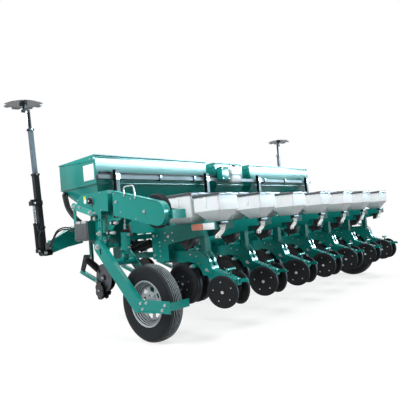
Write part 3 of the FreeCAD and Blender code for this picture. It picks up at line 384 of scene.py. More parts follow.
# Printed vinyl film, left plain: a smooth white label, and a yellow one above it.
white_vinyl = coat("white_vinyl", "EEF0F0", 0.35, tone=0.03, tone_mm=80, pit_mm=40)
yellow_vinyl = coat("yellow_vinyl", "E3C64A", 0.35, tone=0.04, tone_mm=80, pit_mm=40)
bm = bmesh.new()
block(bm, (COVER_X - 0.0015, 0.272, 1.404), (COVER_X, 0.312, 1.449), 0.0, 0)
block(bm, (COVER_X - 0.0015, 0.275, 1.450), (COVER_X, 0.315, 1.480), 0.0, 1)
piece("blank_labels", bm, "frame", [white_vinyl, yellow_vinyl])
bm = bmesh.new()
drum(bm, KNOB - X * 0.004, KNOB - X * 0.010, 0.040, 1)
drum(bm, KNOB - X * 0.010, KNOB - X * 0.034, 0.033, 0, 20, 0.026)
for k in range(8):
    spoke = Vector((0, math.cos(k * math.pi / 4), math.sin(k * math.pi / 4))) * 0.029
    drum(bm, KNOB + spoke - X * 0.012, KNOB + spoke - X * 0.031, 0.007, 0, 10)
drum(bm, KNOB - X * 0.034, KNOB - X * 0.037, 0.011, 1, 14)
piece("hand_knob", bm, "frame", [black, zinc])
bm = bmesh.new()
for y, z, size in ((0.480, 1.389, 0.030), (0.374, 1.374, 0.022), (0.195, 1.302, 0.030)):
    bolt(bm, (LINK_X, y, z), -X, size)
bolt(bm, (COVER_X, 0.135, 1.292), -X, 0.024)
bolt(bm, (COVER_X, 0.082, 1.075), -X, 0.034)
drum(bm, (COVER_X - 0.020, 0.082, 1.075), (COVER_X - 0.034, 0.082, 1.075), 0.010, 0, 14)
bolts(bm, COVER_X, ((0.42, 1.448), (0.02, 1.488), (0.02, 1.310)), -X, 0.011)
for side in (-1, 1):
    bolts(bm, -side * PLATE_X, ((0.075, 0.995), (-0.141, 1.24), (0.24, 0.97)), X * side, 0.020)
piece("end_frame_bolts", bm, "frame", [zinc])
# A black plate on the hanger, in the gap behind the drive case: painted shade.
bm = bmesh.new()
block(bm, (PLATE_X - 0.004, -0.210, 1.220), (PLATE_X + 0.001, -0.090, 1.470), 0.001)
piece("case_gap_painted_shade", bm, "frame", [black])
# Hydraulic couplings on small brackets beside the strut, with black dust caps.
bm = bmesh.new()
COUPLING_X, COUPLING_R = -2.430, 0.017
for y0, y1, z in ((-0.072, -0.169, 1.170), (-0.002, -0.115, 1.074)):
    start, end = Vector((COUPLING_X, y0, z)), Vector((COUPLING_X, y1, z - 0.004))
    block(bm, (PLATE_X, y0 - 0.030, z - 0.022), (COUPLING_X - 0.016, y0 - 0.022, z + 0.022), 0.002, 1)
    drum(bm, start, end, COUPLING_R, 0, 18)
    drum(bm, start - Y * 0.034, start - Y * 0.048, COUPLING_R + 0.008, 1, 18)
    drum(bm, end, end + Vector((0, -0.012, -0.001)), COUPLING_R - 0.006, 0, 12)
drum(bm, (PLATE_X, 0.165, 1.235), (-2.462, 0.165, 1.235), 0.020, 0)
drum(bm, (PLATE_X, 0.165, 1.235), (-2.472, 0.165, 1.235), 0.010, 0, 16)
piece("hydraulic_couplings", bm, "frame", [zinc, black])
STUB_X = 2.483
bm = bmesh.new()
for side in (-1, 1):
    block(bm, (side * STUB_X, 0.246, 1.016), (side * (STUB_X + 0.010), 0.494, 1.220), 0.004)
    block(bm, (side * (STUB_X + 0.009), 0.262, 1.034), (side * (STUB_X + 0.016), 0.478, 1.196), 0.003)
    block(bm, (side * (STUB_X + 0.015), 0.330, 1.070), (side * (STUB_X + 0.018), 0.410, 1.160), 0.002)
    for y0, y1 in ((0.275, 0.360), (0.380, 0.465)):
        for z0, z1, number in ((1.196, 1.224, 1), (1.010, 1.026, 0)):
            block(bm, (side * (STUB_X + 0.001), y0, z0), (side * (STUB_X + 0.013), y1, z1), 0.002, number)
piece("stub_caps", bm, "frame", [grey_cap, zinc])

# ---- Ground wheels -------------------------------------------------------------------
# Ribbed implement tyres, 6.50-16, on pressed steel rims. Seven ribs run round the tread, one
# edge of each groove has a pale painted highlight, and the rim steps down to a vented disc with six bolts.


def turned(bm, profile, centre, axis, steps=48, coat_number=0, closed=True):
    """A lathe shape from (distance along the axis, radius) points."""
    centre = Vector(centre)
    turn = Vector(axis).to_track_quat("Z", "Y")
    along, out = turn @ Z, turn @ X
    rim = [bm.verts.new(centre + along * a + out * r) for a, r in profile]
    edges = [bm.edges.new(pair) for pair in zip(rim, rim[1:] + (rim[:1] if closed else []))]
    bmesh.ops.spin(bm, geom=rim + edges, cent=centre, axis=along, angle=math.tau, steps=steps,
                   use_merge=True)
    paint(rim, coat_number)


# Natural rubber filled with carbon black, moulded: very dark, dull, a little dusty.
rubber = coat("tyre_rubber", "1F2225", 0.68, tone=0.22, tone_mm=90, pit=0.3, pit_mm=9,
              Specular_IOR_Level=0.2)
# The same rubber where it runs on the soil: swept by stubble, greyer and a little shiny.
tread_rubber = coat("tread_rubber", "23292B", 0.55, tone=0.15, tone_mm=60, pit=0.1, pit_mm=30,
                    Specular_IOR_Level=0.3)
# A pale strip along one edge of each groove: a painted highlight on the rib, drawn 5 mm wide so that it
# shows.
tread_highlight = coat("tread_edge_painted_highlight", "AEB9BB", 0.6, tone=0.15, tone_mm=60, pit_mm=6)
# Silver wheel enamel over pressed steel: pale grey with a soft metallic glow.
silver = coat("silver_wheel_enamel", "A9B2B6", 0.34, tone=0.06, tone_mm=100, pit_mm=25, Metallic=0.4)
TYRE_STEPS = 120
TREAD_R = 0.354
GROOVE_PITCH = 0.018
GROOVES = [GROOVE_PITCH * (k - 2.5) for k in range(6)]
GROOVE_DEPTH = 0.008
RIM_STEPS = 3
SECTORS = 48


def crown(radius, x):
    """Radius of the tread at a distance from its middle."""
    return radius - (x / 0.062) ** 2 * 0.009


def tyre_profile(half, radius):
    """Rounded carcass with six grooves across its tread, from bead to bead."""
    wall = [(-0.066, 0.214), (-0.074, 0.226), (-half + 0.006, 0.244), (-half + 0.002, 0.262),
            (-half + 0.003, 0.266), (-half + 0.001, 0.270), (-half, 0.288), (-half, 0.304),
            (-half + 0.003, 0.322), (-half + 0.004, 0.326), (-half + 0.006, 0.334), (-half + 0.012, 0.346),
            (-half + 0.019, 0.355)]
    points = list(wall)
    for x in GROOVES:
        top = crown(radius, x)
        points += [(x - 0.004, top), (x - 0.003, top - GROOVE_DEPTH), (x + 0.003, top - GROOVE_DEPTH),
                   (x + 0.004, top)]
    return points + [(-x, r) for x, r in reversed(wall)]


for side, name in SIDES:
    wheel = "ground_wheel_" + name
    low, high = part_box(wheel)
    hub = (low + high) / 2
    radius = (high.z - low.z) / 2
    bm = bmesh.new()
    turned(bm, tyre_profile((high.x - low.x) / 2, radius), hub, X, TYRE_STEPS)
    for face in bm.faces:
        offset = face.calc_center_median() - hub
        face.material_index = 1 if math.hypot(offset.y, offset.z) > TREAD_R - 0.006 else 0
    for x in GROOVES:
        edge = x - 0.0068
        top = crown(radius, edge) + 0.0006
        turned(bm, [(edge - 0.0026, top), (edge + 0.0026, top)], hub, X, TYRE_STEPS, 2, False)
    piece(name + "_tyre", bm, wheel, [rubber, tread_rubber, tread_highlight], 28)
    bm = bmesh.new()
    rim = [(-0.074, 0.200), (-0.074, 0.221), (-0.069, 0.224), (-0.064, 0.214), (-0.040, 0.210),
           (0.040, 0.210), (0.064, 0.214), (0.069, 0.224), (0.074, 0.221), (0.073, 0.208), (0.067, 0.203)]
    steps = [(0.065 - 0.020 * k, 0.207 - 0.009 * k) for k in range(RIM_STEPS)]
    for a, r in steps:
        rim += [(a, r), (a - 0.007, r), (a - 0.009, r - 0.010), (a - 0.018, r - 0.014)]
    rim += [(0.004, 0.178), (-0.034, 0.178), (-0.062, 0.195)]
    turned(bm, [(side * a, r) for a, r in rim], hub, X, 72)
    for a, r in steps:
        shadow = [(a - 0.0002, r - 0.0002), (a - 0.0068, r - 0.0002), (a - 0.0078, r - 0.0057)]
        turned(bm, [(side * b, q) for b, q in shadow], hub, X, 72, 1, False)
    piece(name + "_rim", bm, wheel, [silver, black])
    bm = bmesh.new()
    bowl = [(-0.022, 0.024), (-0.022, 0.048), (-0.014, 0.060), (-0.014, 0.092), (-0.006, 0.106),
            (0.000, 0.128), (0.004, 0.150), (0.002, 0.166), (-0.008, 0.180)]
    turned(bm, [(side * a, r) for a, r in bowl], hub, X, SECTORS, 0, False)
    holes = []
    for face in bm.faces:
        offset = face.calc_center_median() - hub
        sector = int((math.atan2(offset.z, offset.y) % math.tau) / math.tau * SECTORS)
        if 0.110 < math.hypot(offset.y, offset.z) < 0.150 and sector % 6 < 3:
            holes.append(face)
    bmesh.ops.delete(bm, geom=holes, context="FACES")
    bmesh.ops.solidify(bm, geom=bm.faces[:], thickness=0.005)
    disc = piece(name + "_wheel_disc", bm, wheel, [silver], 60)
    round_off = disc.modifiers.new("pressed_edges", "SUBSURF")
    round_off.levels = round_off.render_levels = 1
    bm = bmesh.new()
    hub_turning = [(-0.060, 0.0225), (0.060, 0.0225), (0.060, 0.038), (0.050, 0.044), (-0.004, 0.046),
                   (-0.020, 0.049), (-0.020, 0.088), (-0.030, 0.090), (-0.034, 0.052), (-0.060, 0.046)]
    turned(bm, [(side * a, r) for a, r in hub_turning], hub, X, 36)
    for k in range(6):
        spot = Vector((side * -0.012, 0.076 * math.cos(k * math.pi / 3), 0.076 * math.sin(k * math.pi / 3)))
        bolt(bm, hub + spot, X * side, 0.019)
    hub_piece = piece(name + "_wheel_hub", bm, wheel, [silver])
    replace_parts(hub_piece, wheel)

# ---- Wheel arms and mud scrapers -----------------------------------------------------
# Each arm is a box of folded plate on a hardened pivot pin. A bracket with a turned-out lower
# lip is bolted on behind the axle and carries the scraper across the tyre.
ARM_X, ARM_IN_X = 2.498, 2.172
PIVOT = (0.089, 0.940)
for side, name in SIDES:
    arm = "wheel_arm_" + name
    dress(arm, arm, [green], 0.006)
    face_x = side * ARM_X
    bm = bmesh.new()
    bolts(bm, face_x, [PIVOT], X * side, 0.040)
    bolts(bm, side * ARM_IN_X, [PIVOT], -X * side, 0.040)
    bolts(bm, face_x, ((-0.512, 0.400), (-0.593, 0.407), (-0.537, 0.347), (-0.837, 0.397), (-0.800, 0.352)),
          X * side, 0.020)
    piece(arm + "_bolts", bm, arm, [zinc])
    bm = bmesh.new()
    block(bm, (face_x - side * 0.008, -0.720, 0.322), (face_x + side * 0.022, -0.450, 0.328), 0.001)
    piece(arm + "_lip", bm, arm, [green])
    # A black disc in the arm's face stands in for a hole: painted shade.
    bm = bmesh.new()
    drum(bm, (face_x - side * 0.004, -0.574, 0.452), (face_x + side * 0.0008, -0.574, 0.452), 0.011, 0, 18)
    piece(arm + "_hole", bm, arm, [black])

# ---- Lift rams -----------------------------------------------------------------------
# Hydraulic cylinders: a green barrel with a screwed black gland and two hose ports, and a
# ground, hard-chromed rod with a forged eye.
# Hard chrome over ground steel: a dark mirror with faint draw marks.
chrome = coat("hard_chrome", "8E959A", 0.16, tone=0.05, tone_mm=20, pit=0.05, pit_mm=10, Metallic=1.0)
RAM_X = 2.31
for side, name in SIDES:
    barrel = "lift_barrel_" + name
    shank = "lift_rod_" + name
    dress(barrel, barrel, [green, zinc], 0.003,
          lambda at: 1 if at.z < 0.862 and abs(abs(at.x) - RAM_X) > 0.0205 else 0)
    dress(shank, shank, [chrome], 0.002)
    low_eye, high_eye = Vector((side * RAM_X, -0.120, 0.834)), Vector((side * RAM_X, -0.141, 1.240))
    line = (high_eye - low_eye).normalized()
    bm = bmesh.new()
    gland = low_eye + line * 0.232
    turned(bm, [(0, 0.0165), (0.030, 0.0165), (0.030, 0.045), (0.026, 0.049), (0.004, 0.049), (0, 0.0465)],
           gland, line, 36, 0)
    for reach in (0.075, 0.205):
        port = low_eye + line * reach
        drum(bm, port - Y * 0.042, port - Y * 0.062, 0.013, 1, 6)
        drum(bm, port - Y * 0.062, port - Y * 0.072, 0.009, 1, 12)
    piece(barrel + "_gland", bm, barrel, [black, zinc])

# ---- Drive case and contact tyre -----------------------------------------------------
# A sheet steel chain case that swings on its shaft, with a folded hem along its top and round
# its end, and a small rubber wheel in its fork that rolls on the ground wheel.
dress("drive_case", "drive_case", [green], 0.005)
CASE_X = -2.474
CASE_END = Vector((CASE_X, -0.803, 1.207))
CASE_R = 0.112
HEM_STEPS = 18


def moved(bm, grown, way):
    """Carries the points of a fresh extrusion off by a vector."""
    bmesh.ops.translate(bm, vec=way, verts=[v for v in grown if isinstance(v, bmesh.types.BMVert)])


def ribbon(bm, points, way):
    """A strip of sheet along some points, as wide as a vector."""
    line = [bm.verts.new(at) for at in points]
    edges = [bm.edges.new(pair) for pair in zip(line, line[1:])]
    moved(bm, bmesh.ops.extrude_edge_only(bm, edges=edges)["geom"], way)


# The hem is in the lighter green: a painted highlight along the case's top and round its end.
bm = bmesh.new()
outline = [Vector((CASE_X, -0.187, 1.484))]
for k in range(HEM_STEPS + 1):
    turn = math.radians(104.7 + 150 * k / HEM_STEPS)
    outline.append(CASE_END + Vector((0, math.cos(turn), math.sin(turn))) * CASE_R)
ribbon(bm, outline, (-0.008, 0, 0))
bmesh.ops.solidify(bm, geom=bm.faces[:], thickness=0.004)
piece("drive_case_hem", bm, "drive_case", [highlight_green], 30)
bm = bmesh.new()
bolts(bm, CASE_X - 0.002, ((-0.642, 1.238), (-0.240, 1.365)), -X, 0.022)
bolts(bm, CASE_X, ((-0.30, 1.262), (-0.215, 1.450), (-0.46, 1.375), (-0.52, 1.180)), -X, 0.011)
piece("drive_case_bolts", bm, "drive_case", [zinc])
low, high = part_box("drive_tyre")
hub = (low + high) / 2
bm = bmesh.new()
spool = [(0.046, 0.0125), (0.046, 0.034), (0.012, 0.040), (0.012, 0.092), (0.034, 0.097), (0.040, 0.104)]
tread = [(0.037, 0.104), (0.044, 0.122), (0.040, 0.148), (0.028, 0.161), (0.020, 0.165), (0.016, 0.159),
         (0.006, 0.159), (0.004, 0.165)]
for half, steps, number in ((spool, 40, 1), (tread, 64, 0)):
    turned(bm, half + [(-a, r) for a, r in reversed(half)], hub, X, steps, number)
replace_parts(piece("contact_tyre", bm, "drive_tyre", [rubber, silver], 28), "drive_tyre")

# ---- Row units -----------------------------------------------------------------------
# Seven welded carriers on parallel links. The outer two carry a pale and an orange reflector, and
# each has its corner bolts, a depth arch with a row of slots, and tee handles of bent rod.
row_xs = []
for number in range(1, 8):
    low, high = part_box("gauge_wheels_%d" % number)
    row_xs.append((low.x + high.x) / 2)


def beside(at):
    """How far a point lies to the side of the nearest row's middle."""
    return min(abs(at.x - row) for row in row_xs)


# Rolled boron steel of coulters: dark grey, faintly polished where soil has rubbed it.
disc_steel = coat("boron_steel", "4A4F55", 0.34, tone=0.25, tone_mm=45, pit=0.1, pit_mm=12, Metallic=0.8)
SEED_DISC_Y, SEED_DISC_Z = -0.626, 0.508
BEAM_REAR = -1.150


def unit_coat(at):
    """Disc steel for the opener discs and wheel spindles, a darker green as painted shade at the beams' rear,
    then green.
    """
    if at.y < BEAM_REAR + 0.0005 and at.z > 0.90:
        return 2
    reach = math.hypot(at.y - SEED_DISC_Y, at.z - SEED_DISC_Z)
    return 1 if beside(at) < 0.034 and reach < 0.196 and at.z < 0.70 else 0


# The beams' end plates are painted a darker green: painted shade, where the hoppers above shade them.
shade_painted_green = coat("end_plate_painted_shade", "0E5752", 0.12, tone=0.08, tone_mm=120, Specular_IOR_Level=0.2)
dress("row_frames", "frame", [green, disc_steel, shade_painted_green], 0.003, unit_coat)
# Prisms moulded behind clear acrylic: salmon orange and silver white, with a fine mesh look.
prisms = {"tone_mm": 12, "pit": 0.35, "pit_mm": 5, "Coat_Weight": 0.8}
orange_reflex = coat("orange_reflector", "EE8C70", 0.18, tone=0.10, **prisms)
white_reflex = coat("white_reflector", "EDEFF0", 0.18, tone=0.08, **prisms)
BEAM_HALF = 0.130
ARCH_X = 0.050
bm = bmesh.new()
for x, side in ((row_xs[0], -1), (row_xs[-1], 1)):
    face_x = x + side * BEAM_HALF
    for y, number in ((-0.985, 0), (-1.130, 1)):
        block(bm, (face_x, y, 1.020), (face_x + side * 0.003, y + 0.140, 1.080), 0.001, number)
piece("side_reflectors", bm, "frame", [orange_reflex, white_reflex])
bm = bmesh.new()
for x in row_xs:
    for side in (-1, 1):
        face_x = x + side * BEAM_HALF
        out = X * side
        bolts(bm, face_x, ((-0.475, 1.021), (-0.579, 1.019), (-0.471, 0.946), (-0.578, 0.943)), out, 0.011)
        bolts(bm, face_x, [(-0.517, 0.982)], out, 0.020)
        bolts(bm, face_x, [(-0.355, 1.000)] + [(-0.385, z) for z in (0.931, 0.891, 0.842, 0.790)], out, 0.012)
        bolts(bm, face_x, ((-0.300, 0.800), (-0.300, 1.000)), out, 0.022)
        bolts(bm, x + side * 0.112, ((0.260, 0.800), (0.260, 1.000)), out, 0.022)
        bolts(bm, x + side * ARCH_X, ((-0.72, 0.790), (-0.80, 0.770)), out, 0.010)
        bolts(bm, x + side * ARCH_X, [(-0.915, 0.640)], out, 0.024)
        bolts(bm, x + side * 0.080, ((0.418, 0.80), (0.418, 0.92), (0.418, 1.16)), -Y, 0.018)
piece("row_unit_bolts", bm, "frame", [zinc])
# Zinc-plated and yellow-passivated pins: brass-like against the paint.
passivated = coat("yellow_passivate", "B59A5C", 0.35, tone=0.2, tone_mm=20, pit=0.15, pit_mm=8, Metallic=0.8)
# The inner washer and the upper boss of each pin are in the lighter green: painted highlight.
bm = bmesh.new()
for x in row_xs:
    for side in (-1, 1):
        for from_x, to_x, y, z, radius, number, sides in (
                (0.104, 0.120, -0.800, 0.684, 0.022, 2, 18), (0.120, 0.144, -0.800, 0.684, 0.014, 1, 6),
                (0.144, 0.154, -0.800, 0.684, 0.008, 1, 12), (0.062, 0.074, -0.840, 0.705, 0.008, 0, 12),
                (0.062, 0.074, -0.815, 0.862, 0.013, 2, 14)):
            drum(bm, (x + side * from_x, y, z), (x + side * to_x, y, z), radius, number, sides)
piece("row_unit_pins", bm, "frame", [passivated, zinc, highlight_green])
# The stop of the granule metering drive: a bent strip of galvanised steel on the beam's end
# plate, behind a black collar.
STRIP = [(-0.100, 1.086), (0.004, 1.086), (0.000, 1.052), (-0.022, 1.015), (-0.040, 0.985),
         (-0.095, 0.958), (-0.098, 0.938), (-0.163, 0.938), (-0.160, 0.962), (-0.112, 0.988),
         (-0.078, 1.016), (-0.094, 1.052)]
bm = bmesh.new()
for x in row_xs:
    outline = bm.faces.new([bm.verts.new((x + dx, BEAM_REAR - 0.001, z)) for dx, z in STRIP])
    moved(bm, bmesh.ops.extrude_face_region(bm, geom=[outline])["geom"], (0, -0.012, 0))
    block(bm, (x - 0.104, BEAM_REAR - 0.034, 1.056), (x + 0.008, BEAM_REAR - 0.001, 1.086), 0.004, 1)
    bolt(bm, (x - 0.050, BEAM_REAR - 0.013, 1.016), -Y, 0.013)
    bolt(bm, (x - 0.130, BEAM_REAR - 0.013, 0.950), -Y, 0.013)
# Galvanised by hot dip: a matt, faintly mottled off-white.
galvanised = coat("matt_galvanising", "CFCDC6", 0.6, tone=0.15, tone_mm=25, pit=0.2, pit_mm=8,
                  Specular_IOR_Level=0.2)
piece("metering_stops", bm, "frame", [galvanised, black])
# Bands of the depth arch: the slotted rear face and its scale, in a lighter green, a painted highlight where
# the face turns up and back.
arch_highlight_green = coat("arch_painted_highlight", "2B8F87", 0.15, tone=0.05, tone_mm=200, Specular_IOR_Level=0.25)
bm = bmesh.new()
# Angles round the arch, from just behind its top to level with its middle.
bends = [math.radians(6 + 10 * k) for k in range(9)]
for x in row_xs:
    for side in (-1, 1):
        ribbon(bm, [(x + side * 0.022, -0.842 - 0.118 * math.sin(turn), 0.700 + 0.131 * math.cos(turn))
                    for turn in bends], (side * 0.024, 0, 0))
bmesh.ops.solidify(bm, geom=bm.faces[:], thickness=0.005)
piece("arch_bands", bm, "frame", [arch_highlight_green], 50)


def spring(bm, wire, start, end, first, pitch, coils, steps):
    """Coils of one profile along a line, the first of them that far from its start."""
    way = (end - start).normalized()
    for k in range(coils):
        turned(bm, wire, start + way * (first + pitch * k), way, steps)


# Between the parallel links: the pair of springs that press the unit down, and the flat guard
# of its seed chain.
GUARD_HALF = 0.022
WIRE = [(-0.006, 0.019), (0.006, 0.019), (0.006, 0.027), (0, 0.031), (-0.006, 0.027)]
bm = bmesh.new()
for x in row_xs:
    for side in (-1, 1):
        front, back = Vector((x + side * 0.072, 0.225, 0.835)), Vector((x + side * 0.072, -0.255, 0.965))
        drum(bm, front, back, 0.008, 0, 10)
        spring(bm, WIRE, front, back, 0.080, 0.0195, 18, 14)
    block(bm, (x - GUARD_HALF, -0.285, 0.872), (x + GUARD_HALF, 0.245, 0.958), 0.010)
    bolts(bm, x - GUARD_HALF, ((-0.20, 0.915), (0.0, 0.915), (0.20, 0.915)), -X, 0.014, 1)
piece("unit_springs_and_guards", bm, "frame", [black, zinc])

# ---- Gauge wheels --------------------------------------------------------------------
# Pairs of dished steel wheels with a moulded rubber tyre, each on the stub of its arm. Their
# flat outer face shows the hub cap and five bolts, and the lip of the tyre stands proud.
WHEEL_BOLTS = 5
for number, x in enumerate(row_xs, 1):
    name = "gauge_wheels_%d" % number
    low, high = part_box(name)
    hub = (low + high) / 2
    reach = (high.x - low.x) / 2
    radius = (high.z - low.z) / 2
    bm = bmesh.new()
    for side in (-1, 1):
        tyre = [(0.038, 0.164), (0.038, radius - 0.016), (0.042, radius - 0.006), (0.052, radius),
                (0.078, radius - 0.002), (0.082, radius - 0.007), (0.094, radius - 0.007),
                (0.098, radius - 0.002), (0.106, radius - 0.001), (0.118, radius - 0.008),
                (reach - 0.002, radius - 0.020), (reach, 0.180), (0.121, 0.168), (0.112, 0.160)]
        turned(bm, [(side * a, r) for a, r in tyre], hub, X, 56, 0)
        shell = [(0.074, 0.0105), (0.110, 0.0105), (0.110, 0.026), (0.106, 0.036), (0.099, 0.042),
                 (0.096, 0.062), (0.100, 0.084), (0.100, 0.134), (0.106, 0.146), (0.114, 0.160),
                 (0.112, 0.166), (0.098, 0.158), (0.094, 0.136), (0.092, 0.060), (0.088, 0.044),
                 (0.074, 0.036)]
        turned(bm, [(side * a, r) for a, r in shell], hub, X, 56, 1)
        for k in range(WHEEL_BOLTS):
            turn = math.tau * k / WHEEL_BOLTS + 0.3
            spot = Vector((side * 0.097, 0.070 * math.cos(turn), 0.070 * math.sin(turn)))
            bolt(bm, hub + spot, X * side, 0.009, 2)
        drum(bm, hub + X * side * 0.110, hub + X * side * 0.117, 0.014, 2, 6)
    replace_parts(piece(name + "_tyres", bm, name, [rubber, black, zinc], 32), name)

# ---- Closing wheels and their arms ---------------------------------------------------
# Cast wheels with a pressed-on rubber ring, toed in at the bottom in a vee, on a box arm of
# folded plate. A spring handle sits in the arm's notched top and a hook stands out behind.
dress("closing_arms", "frame", [green, passivated], 0.003,
      lambda at: 0 if at.z > 0.49 or beside(at) < 0.05 else 1)
TOE, CAMBER = math.radians(16), math.radians(6)
CLOSE_X = 0.125
# The arm's top falls by this much for each metre to the rear.
ARM_FALL = 0.358
for number, x in enumerate(row_xs, 1):
    for side, word in SIDES:
        name = "closing_wheel_%d_%s" % (number, word)
        low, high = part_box(name)
        hub = Vector((x + side * CLOSE_X, (low.y + high.y) / 2, (low.z + high.z) / 2))
        axis = Vector((side * math.cos(TOE) * math.cos(CAMBER), -math.sin(TOE) * math.cos(CAMBER),
                       -math.sin(CAMBER)))
        bm = bmesh.new()
        ring = [(-0.013, 0.122), (-0.013, 0.140), (-0.009, 0.149), (0, 0.150), (0.009, 0.149),
                (0.013, 0.141), (0.013, 0.130), (0.011, 0.128), (-0.008, 0.118)]
        turned(bm, ring, hub, axis, 48, 0)
        shell = [(-0.026, 0.0095), (0.016, 0.0095), (0.016, 0.022), (0.012, 0.027), (0.0085, 0.029),
                 (0.0085, 0.122), (0.0115, 0.126), (0.0105, 0.129), (-0.009, 0.121), (-0.005, 0.110),
                 (-0.005, 0.040), (-0.014, 0.034), (-0.026, 0.030)]
        turned(bm, shell, hub, axis, 48, 1)
        span = axis.to_track_quat("Z", "Y")
        for k in range(WHEEL_BOLTS):
            turn = math.tau * k / WHEEL_BOLTS + 0.4
            spot = span @ Vector((0.092 * math.cos(turn), 0.092 * math.sin(turn), 0.0085))
            bolt(bm, hub + spot, axis, 0.008, 2)
        bolt(bm, hub + axis * 0.014, axis, 0.020, 2)
        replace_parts(piece(name + "_tyre", bm, name, [rubber, black, zinc], 32), name)
# Black strips across the arm's sloping top stand in for its notches, as painted shade in the slots, with one
# left out for the spring handle.
NOTCHES = (0, 1, 2, 3, 5)
bm = bmesh.new()
for x in row_xs:
    for k in NOTCHES:
        y = -1.03 - 0.033 * k
        z = 0.662 + (y + 0.935) * ARM_FALL
        block(bm, (x - 0.032, y - 0.006, z - 0.004), (x + 0.032, y + 0.006, z + 0.004), 0.001, 1)
    for side in (-1, 1):
        bolt(bm, (x + side * 0.044, -0.935, 0.628), X * side, 0.020)
        bolt(bm, (x + side * 0.044, -1.215, 0.527), X * side, 0.013)
        bolt(bm, (x + side * 0.018, -1.252, 0.540 - side * 0.012), -Y, 0.013)
        # Where the spring handle sits, its ends are in the lighter green: painted highlight.
        drum(bm, (x + side * 0.045, -1.165, 0.640), (x + side * 0.058, -1.165, 0.640), 0.015, 2, 16)
piece("closing_arm_fittings", bm, "frame", [zinc, black, highlight_green])

# ---- Seed meters and granule spouts --------------------------------------------------
# Moulded meter housings with a ribbed lid held by a wing knob, and moulded spouts with a
# collar under the rear hoppers.
# Glass-filled nylon housing: charcoal, satin, slightly cloudy.
nylon = coat("charcoal_nylon", "2B2E31", 0.5, tone=0.12, tone_mm=60, pit=0.15, pit_mm=8)
# Natural polyethylene, blow-moulded: milky white with a soft waxy skin.
white_poly = coat("milky_polyethylene", "E6EAEC", 0.30, tone=0.03, tone_mm=160, pit=0.12, pit_mm=35,
                  Specular_IOR_Level=0.15, Subsurface_Weight=0.08, Subsurface_Scale=0.01)
dress("seed_meters", "frame", [nylon], 0.004)
METER = Vector((0, -0.690, 0.938))
METER_RIBS = 12
bm = bmesh.new()
for x in row_xs:
    centre = METER + X * x
    for k in range(METER_RIBS):
        turn = math.tau * k / METER_RIBS
        rib = Vector((0, math.cos(turn), math.sin(turn)))
        drum(bm, centre + rib * 0.030 - X * 0.0705, centre + rib * 0.055 - X * 0.0705, 0.004, 0, 6)
        drum(bm, centre + rib * 0.086 + X * 0.040, centre + rib * 0.086 + X * 0.050, 0.006, 1, 6)
    drum(bm, centre - X * 0.070, centre - X * 0.084, 0.014, 0, 16)
    block(bm, centre + Vector((-0.088, -0.026, -0.005)), centre + Vector((-0.078, 0.026, 0.005)), 0.002)
    block(bm, (x - 0.047, -1.133, 1.004), (x + 0.047, -1.027, 1.020), 0.002)
    block(bm, (x - 0.024, -1.072, 0.925), (x + 0.024, -1.026, 0.940), 0.002)
piece("meter_trim", bm, "frame", [nylon, zinc])

# ---- Hoppers and lids ----------------------------------------------------------------
# Blow-moulded hoppers, square above a crease and tapered below, with rounded corners, a sight
# rib and a rolled rim. Their lids are moulded in grey ABS with a raised panel and a latch.
HOP_HALF = 0.147
WALL = 0.005
NECK_HALF, NECK_LENGTH = 0.050, 0.025


def tub(low, high, corner):
    """A bmesh of its own: a box between two corners with its upright edges rounded."""
    made = bmesh.new()
    brick(made, low, high)
    posts = [e for e in made.edges if abs(e.verts[0].co.z - e.verts[1].co.z) > 0.01]
    soften(made, posts, corner, 4)
    return made


def pour(made, bm):
    """Empties one bmesh into another."""
    loose = mesh_of("loose", made)
    bm.from_mesh(loose)
    bpy.data.meshes.remove(loose)


def hopper(bm, x, y0, y1, crease, top, neck, drop):
    """One hopper wall: a rounded box open at the top, pulled in to its neck, then given a thickness."""
    mine = tub((x - HOP_HALF, y0, crease), (x + HOP_HALF, y1, top), 0.020)
    bmesh.ops.delete(mine, geom=[f for f in mine.faces if f.normal.z > 0.9], context="FACES_ONLY")
    floor_face = [f for f in mine.faces if f.normal.z < -0.9]
    centre = Vector((x, (neck[0] + neck[1]) / 2, 0))
    middle = Vector((x, (y0 + y1) / 2, 0))
    for fall in (drop, NECK_LENGTH):
        grown = bmesh.ops.extrude_face_region(mine, geom=floor_face)["geom"]
        bmesh.ops.delete(mine, geom=floor_face, context="FACES_ONLY")
        floor_face = [g for g in grown if isinstance(g, bmesh.types.BMFace)]
        corners = [g for g in grown if isinstance(g, bmesh.types.BMVert)]
        span_x = max(v.co.x for v in corners) - min(v.co.x for v in corners)
        span_y = max(v.co.y for v in corners) - min(v.co.y for v in corners)
        shrink = (2 * NECK_HALF / span_x, (neck[1] - neck[0]) / span_y, 1)
        bmesh.ops.translate(mine, vec=-middle, verts=corners)
        bmesh.ops.scale(mine, vec=shrink, verts=corners)
        bmesh.ops.translate(mine, vec=centre - Z * fall, verts=corners)
        middle = centre
    bmesh.ops.delete(mine, geom=floor_face, context="FACES_ONLY")
    bend = [e for e in mine.edges if len(e.link_faces) == 2 and e.calc_face_angle(0) > math.radians(20)]
    soften(mine, bend, 0.006, 3)
    bmesh.ops.recalc_face_normals(mine, faces=mine.faces)
    inside = Vector((x, middle.y, (crease + top) / 2))
    if sum(f.normal.dot(f.calc_center_median() - inside) for f in mine.faces) < 0:
        bmesh.ops.reverse_faces(mine, faces=mine.faces)
    bmesh.ops.solidify(mine, geom=mine.faces[:], thickness=WALL)
    pour(mine, bm)


# Each: its rear and front faces, crease and top, the two faces of its neck, and the drop to that.
REAR = (-1.215, -0.905, 1.190, 1.325, (-1.135, -1.010), 0.105)
FRONT = (-0.875, -0.500, 1.150, 1.362, (-0.740, -0.640), 0.090)
bm = bmesh.new()
for x in row_xs:
    hopper(bm, x, *REAR)
    hopper(bm, x, *FRONT)
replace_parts(piece("hopper_walls", bm, "frame", [white_poly], 35, False), "hoppers")
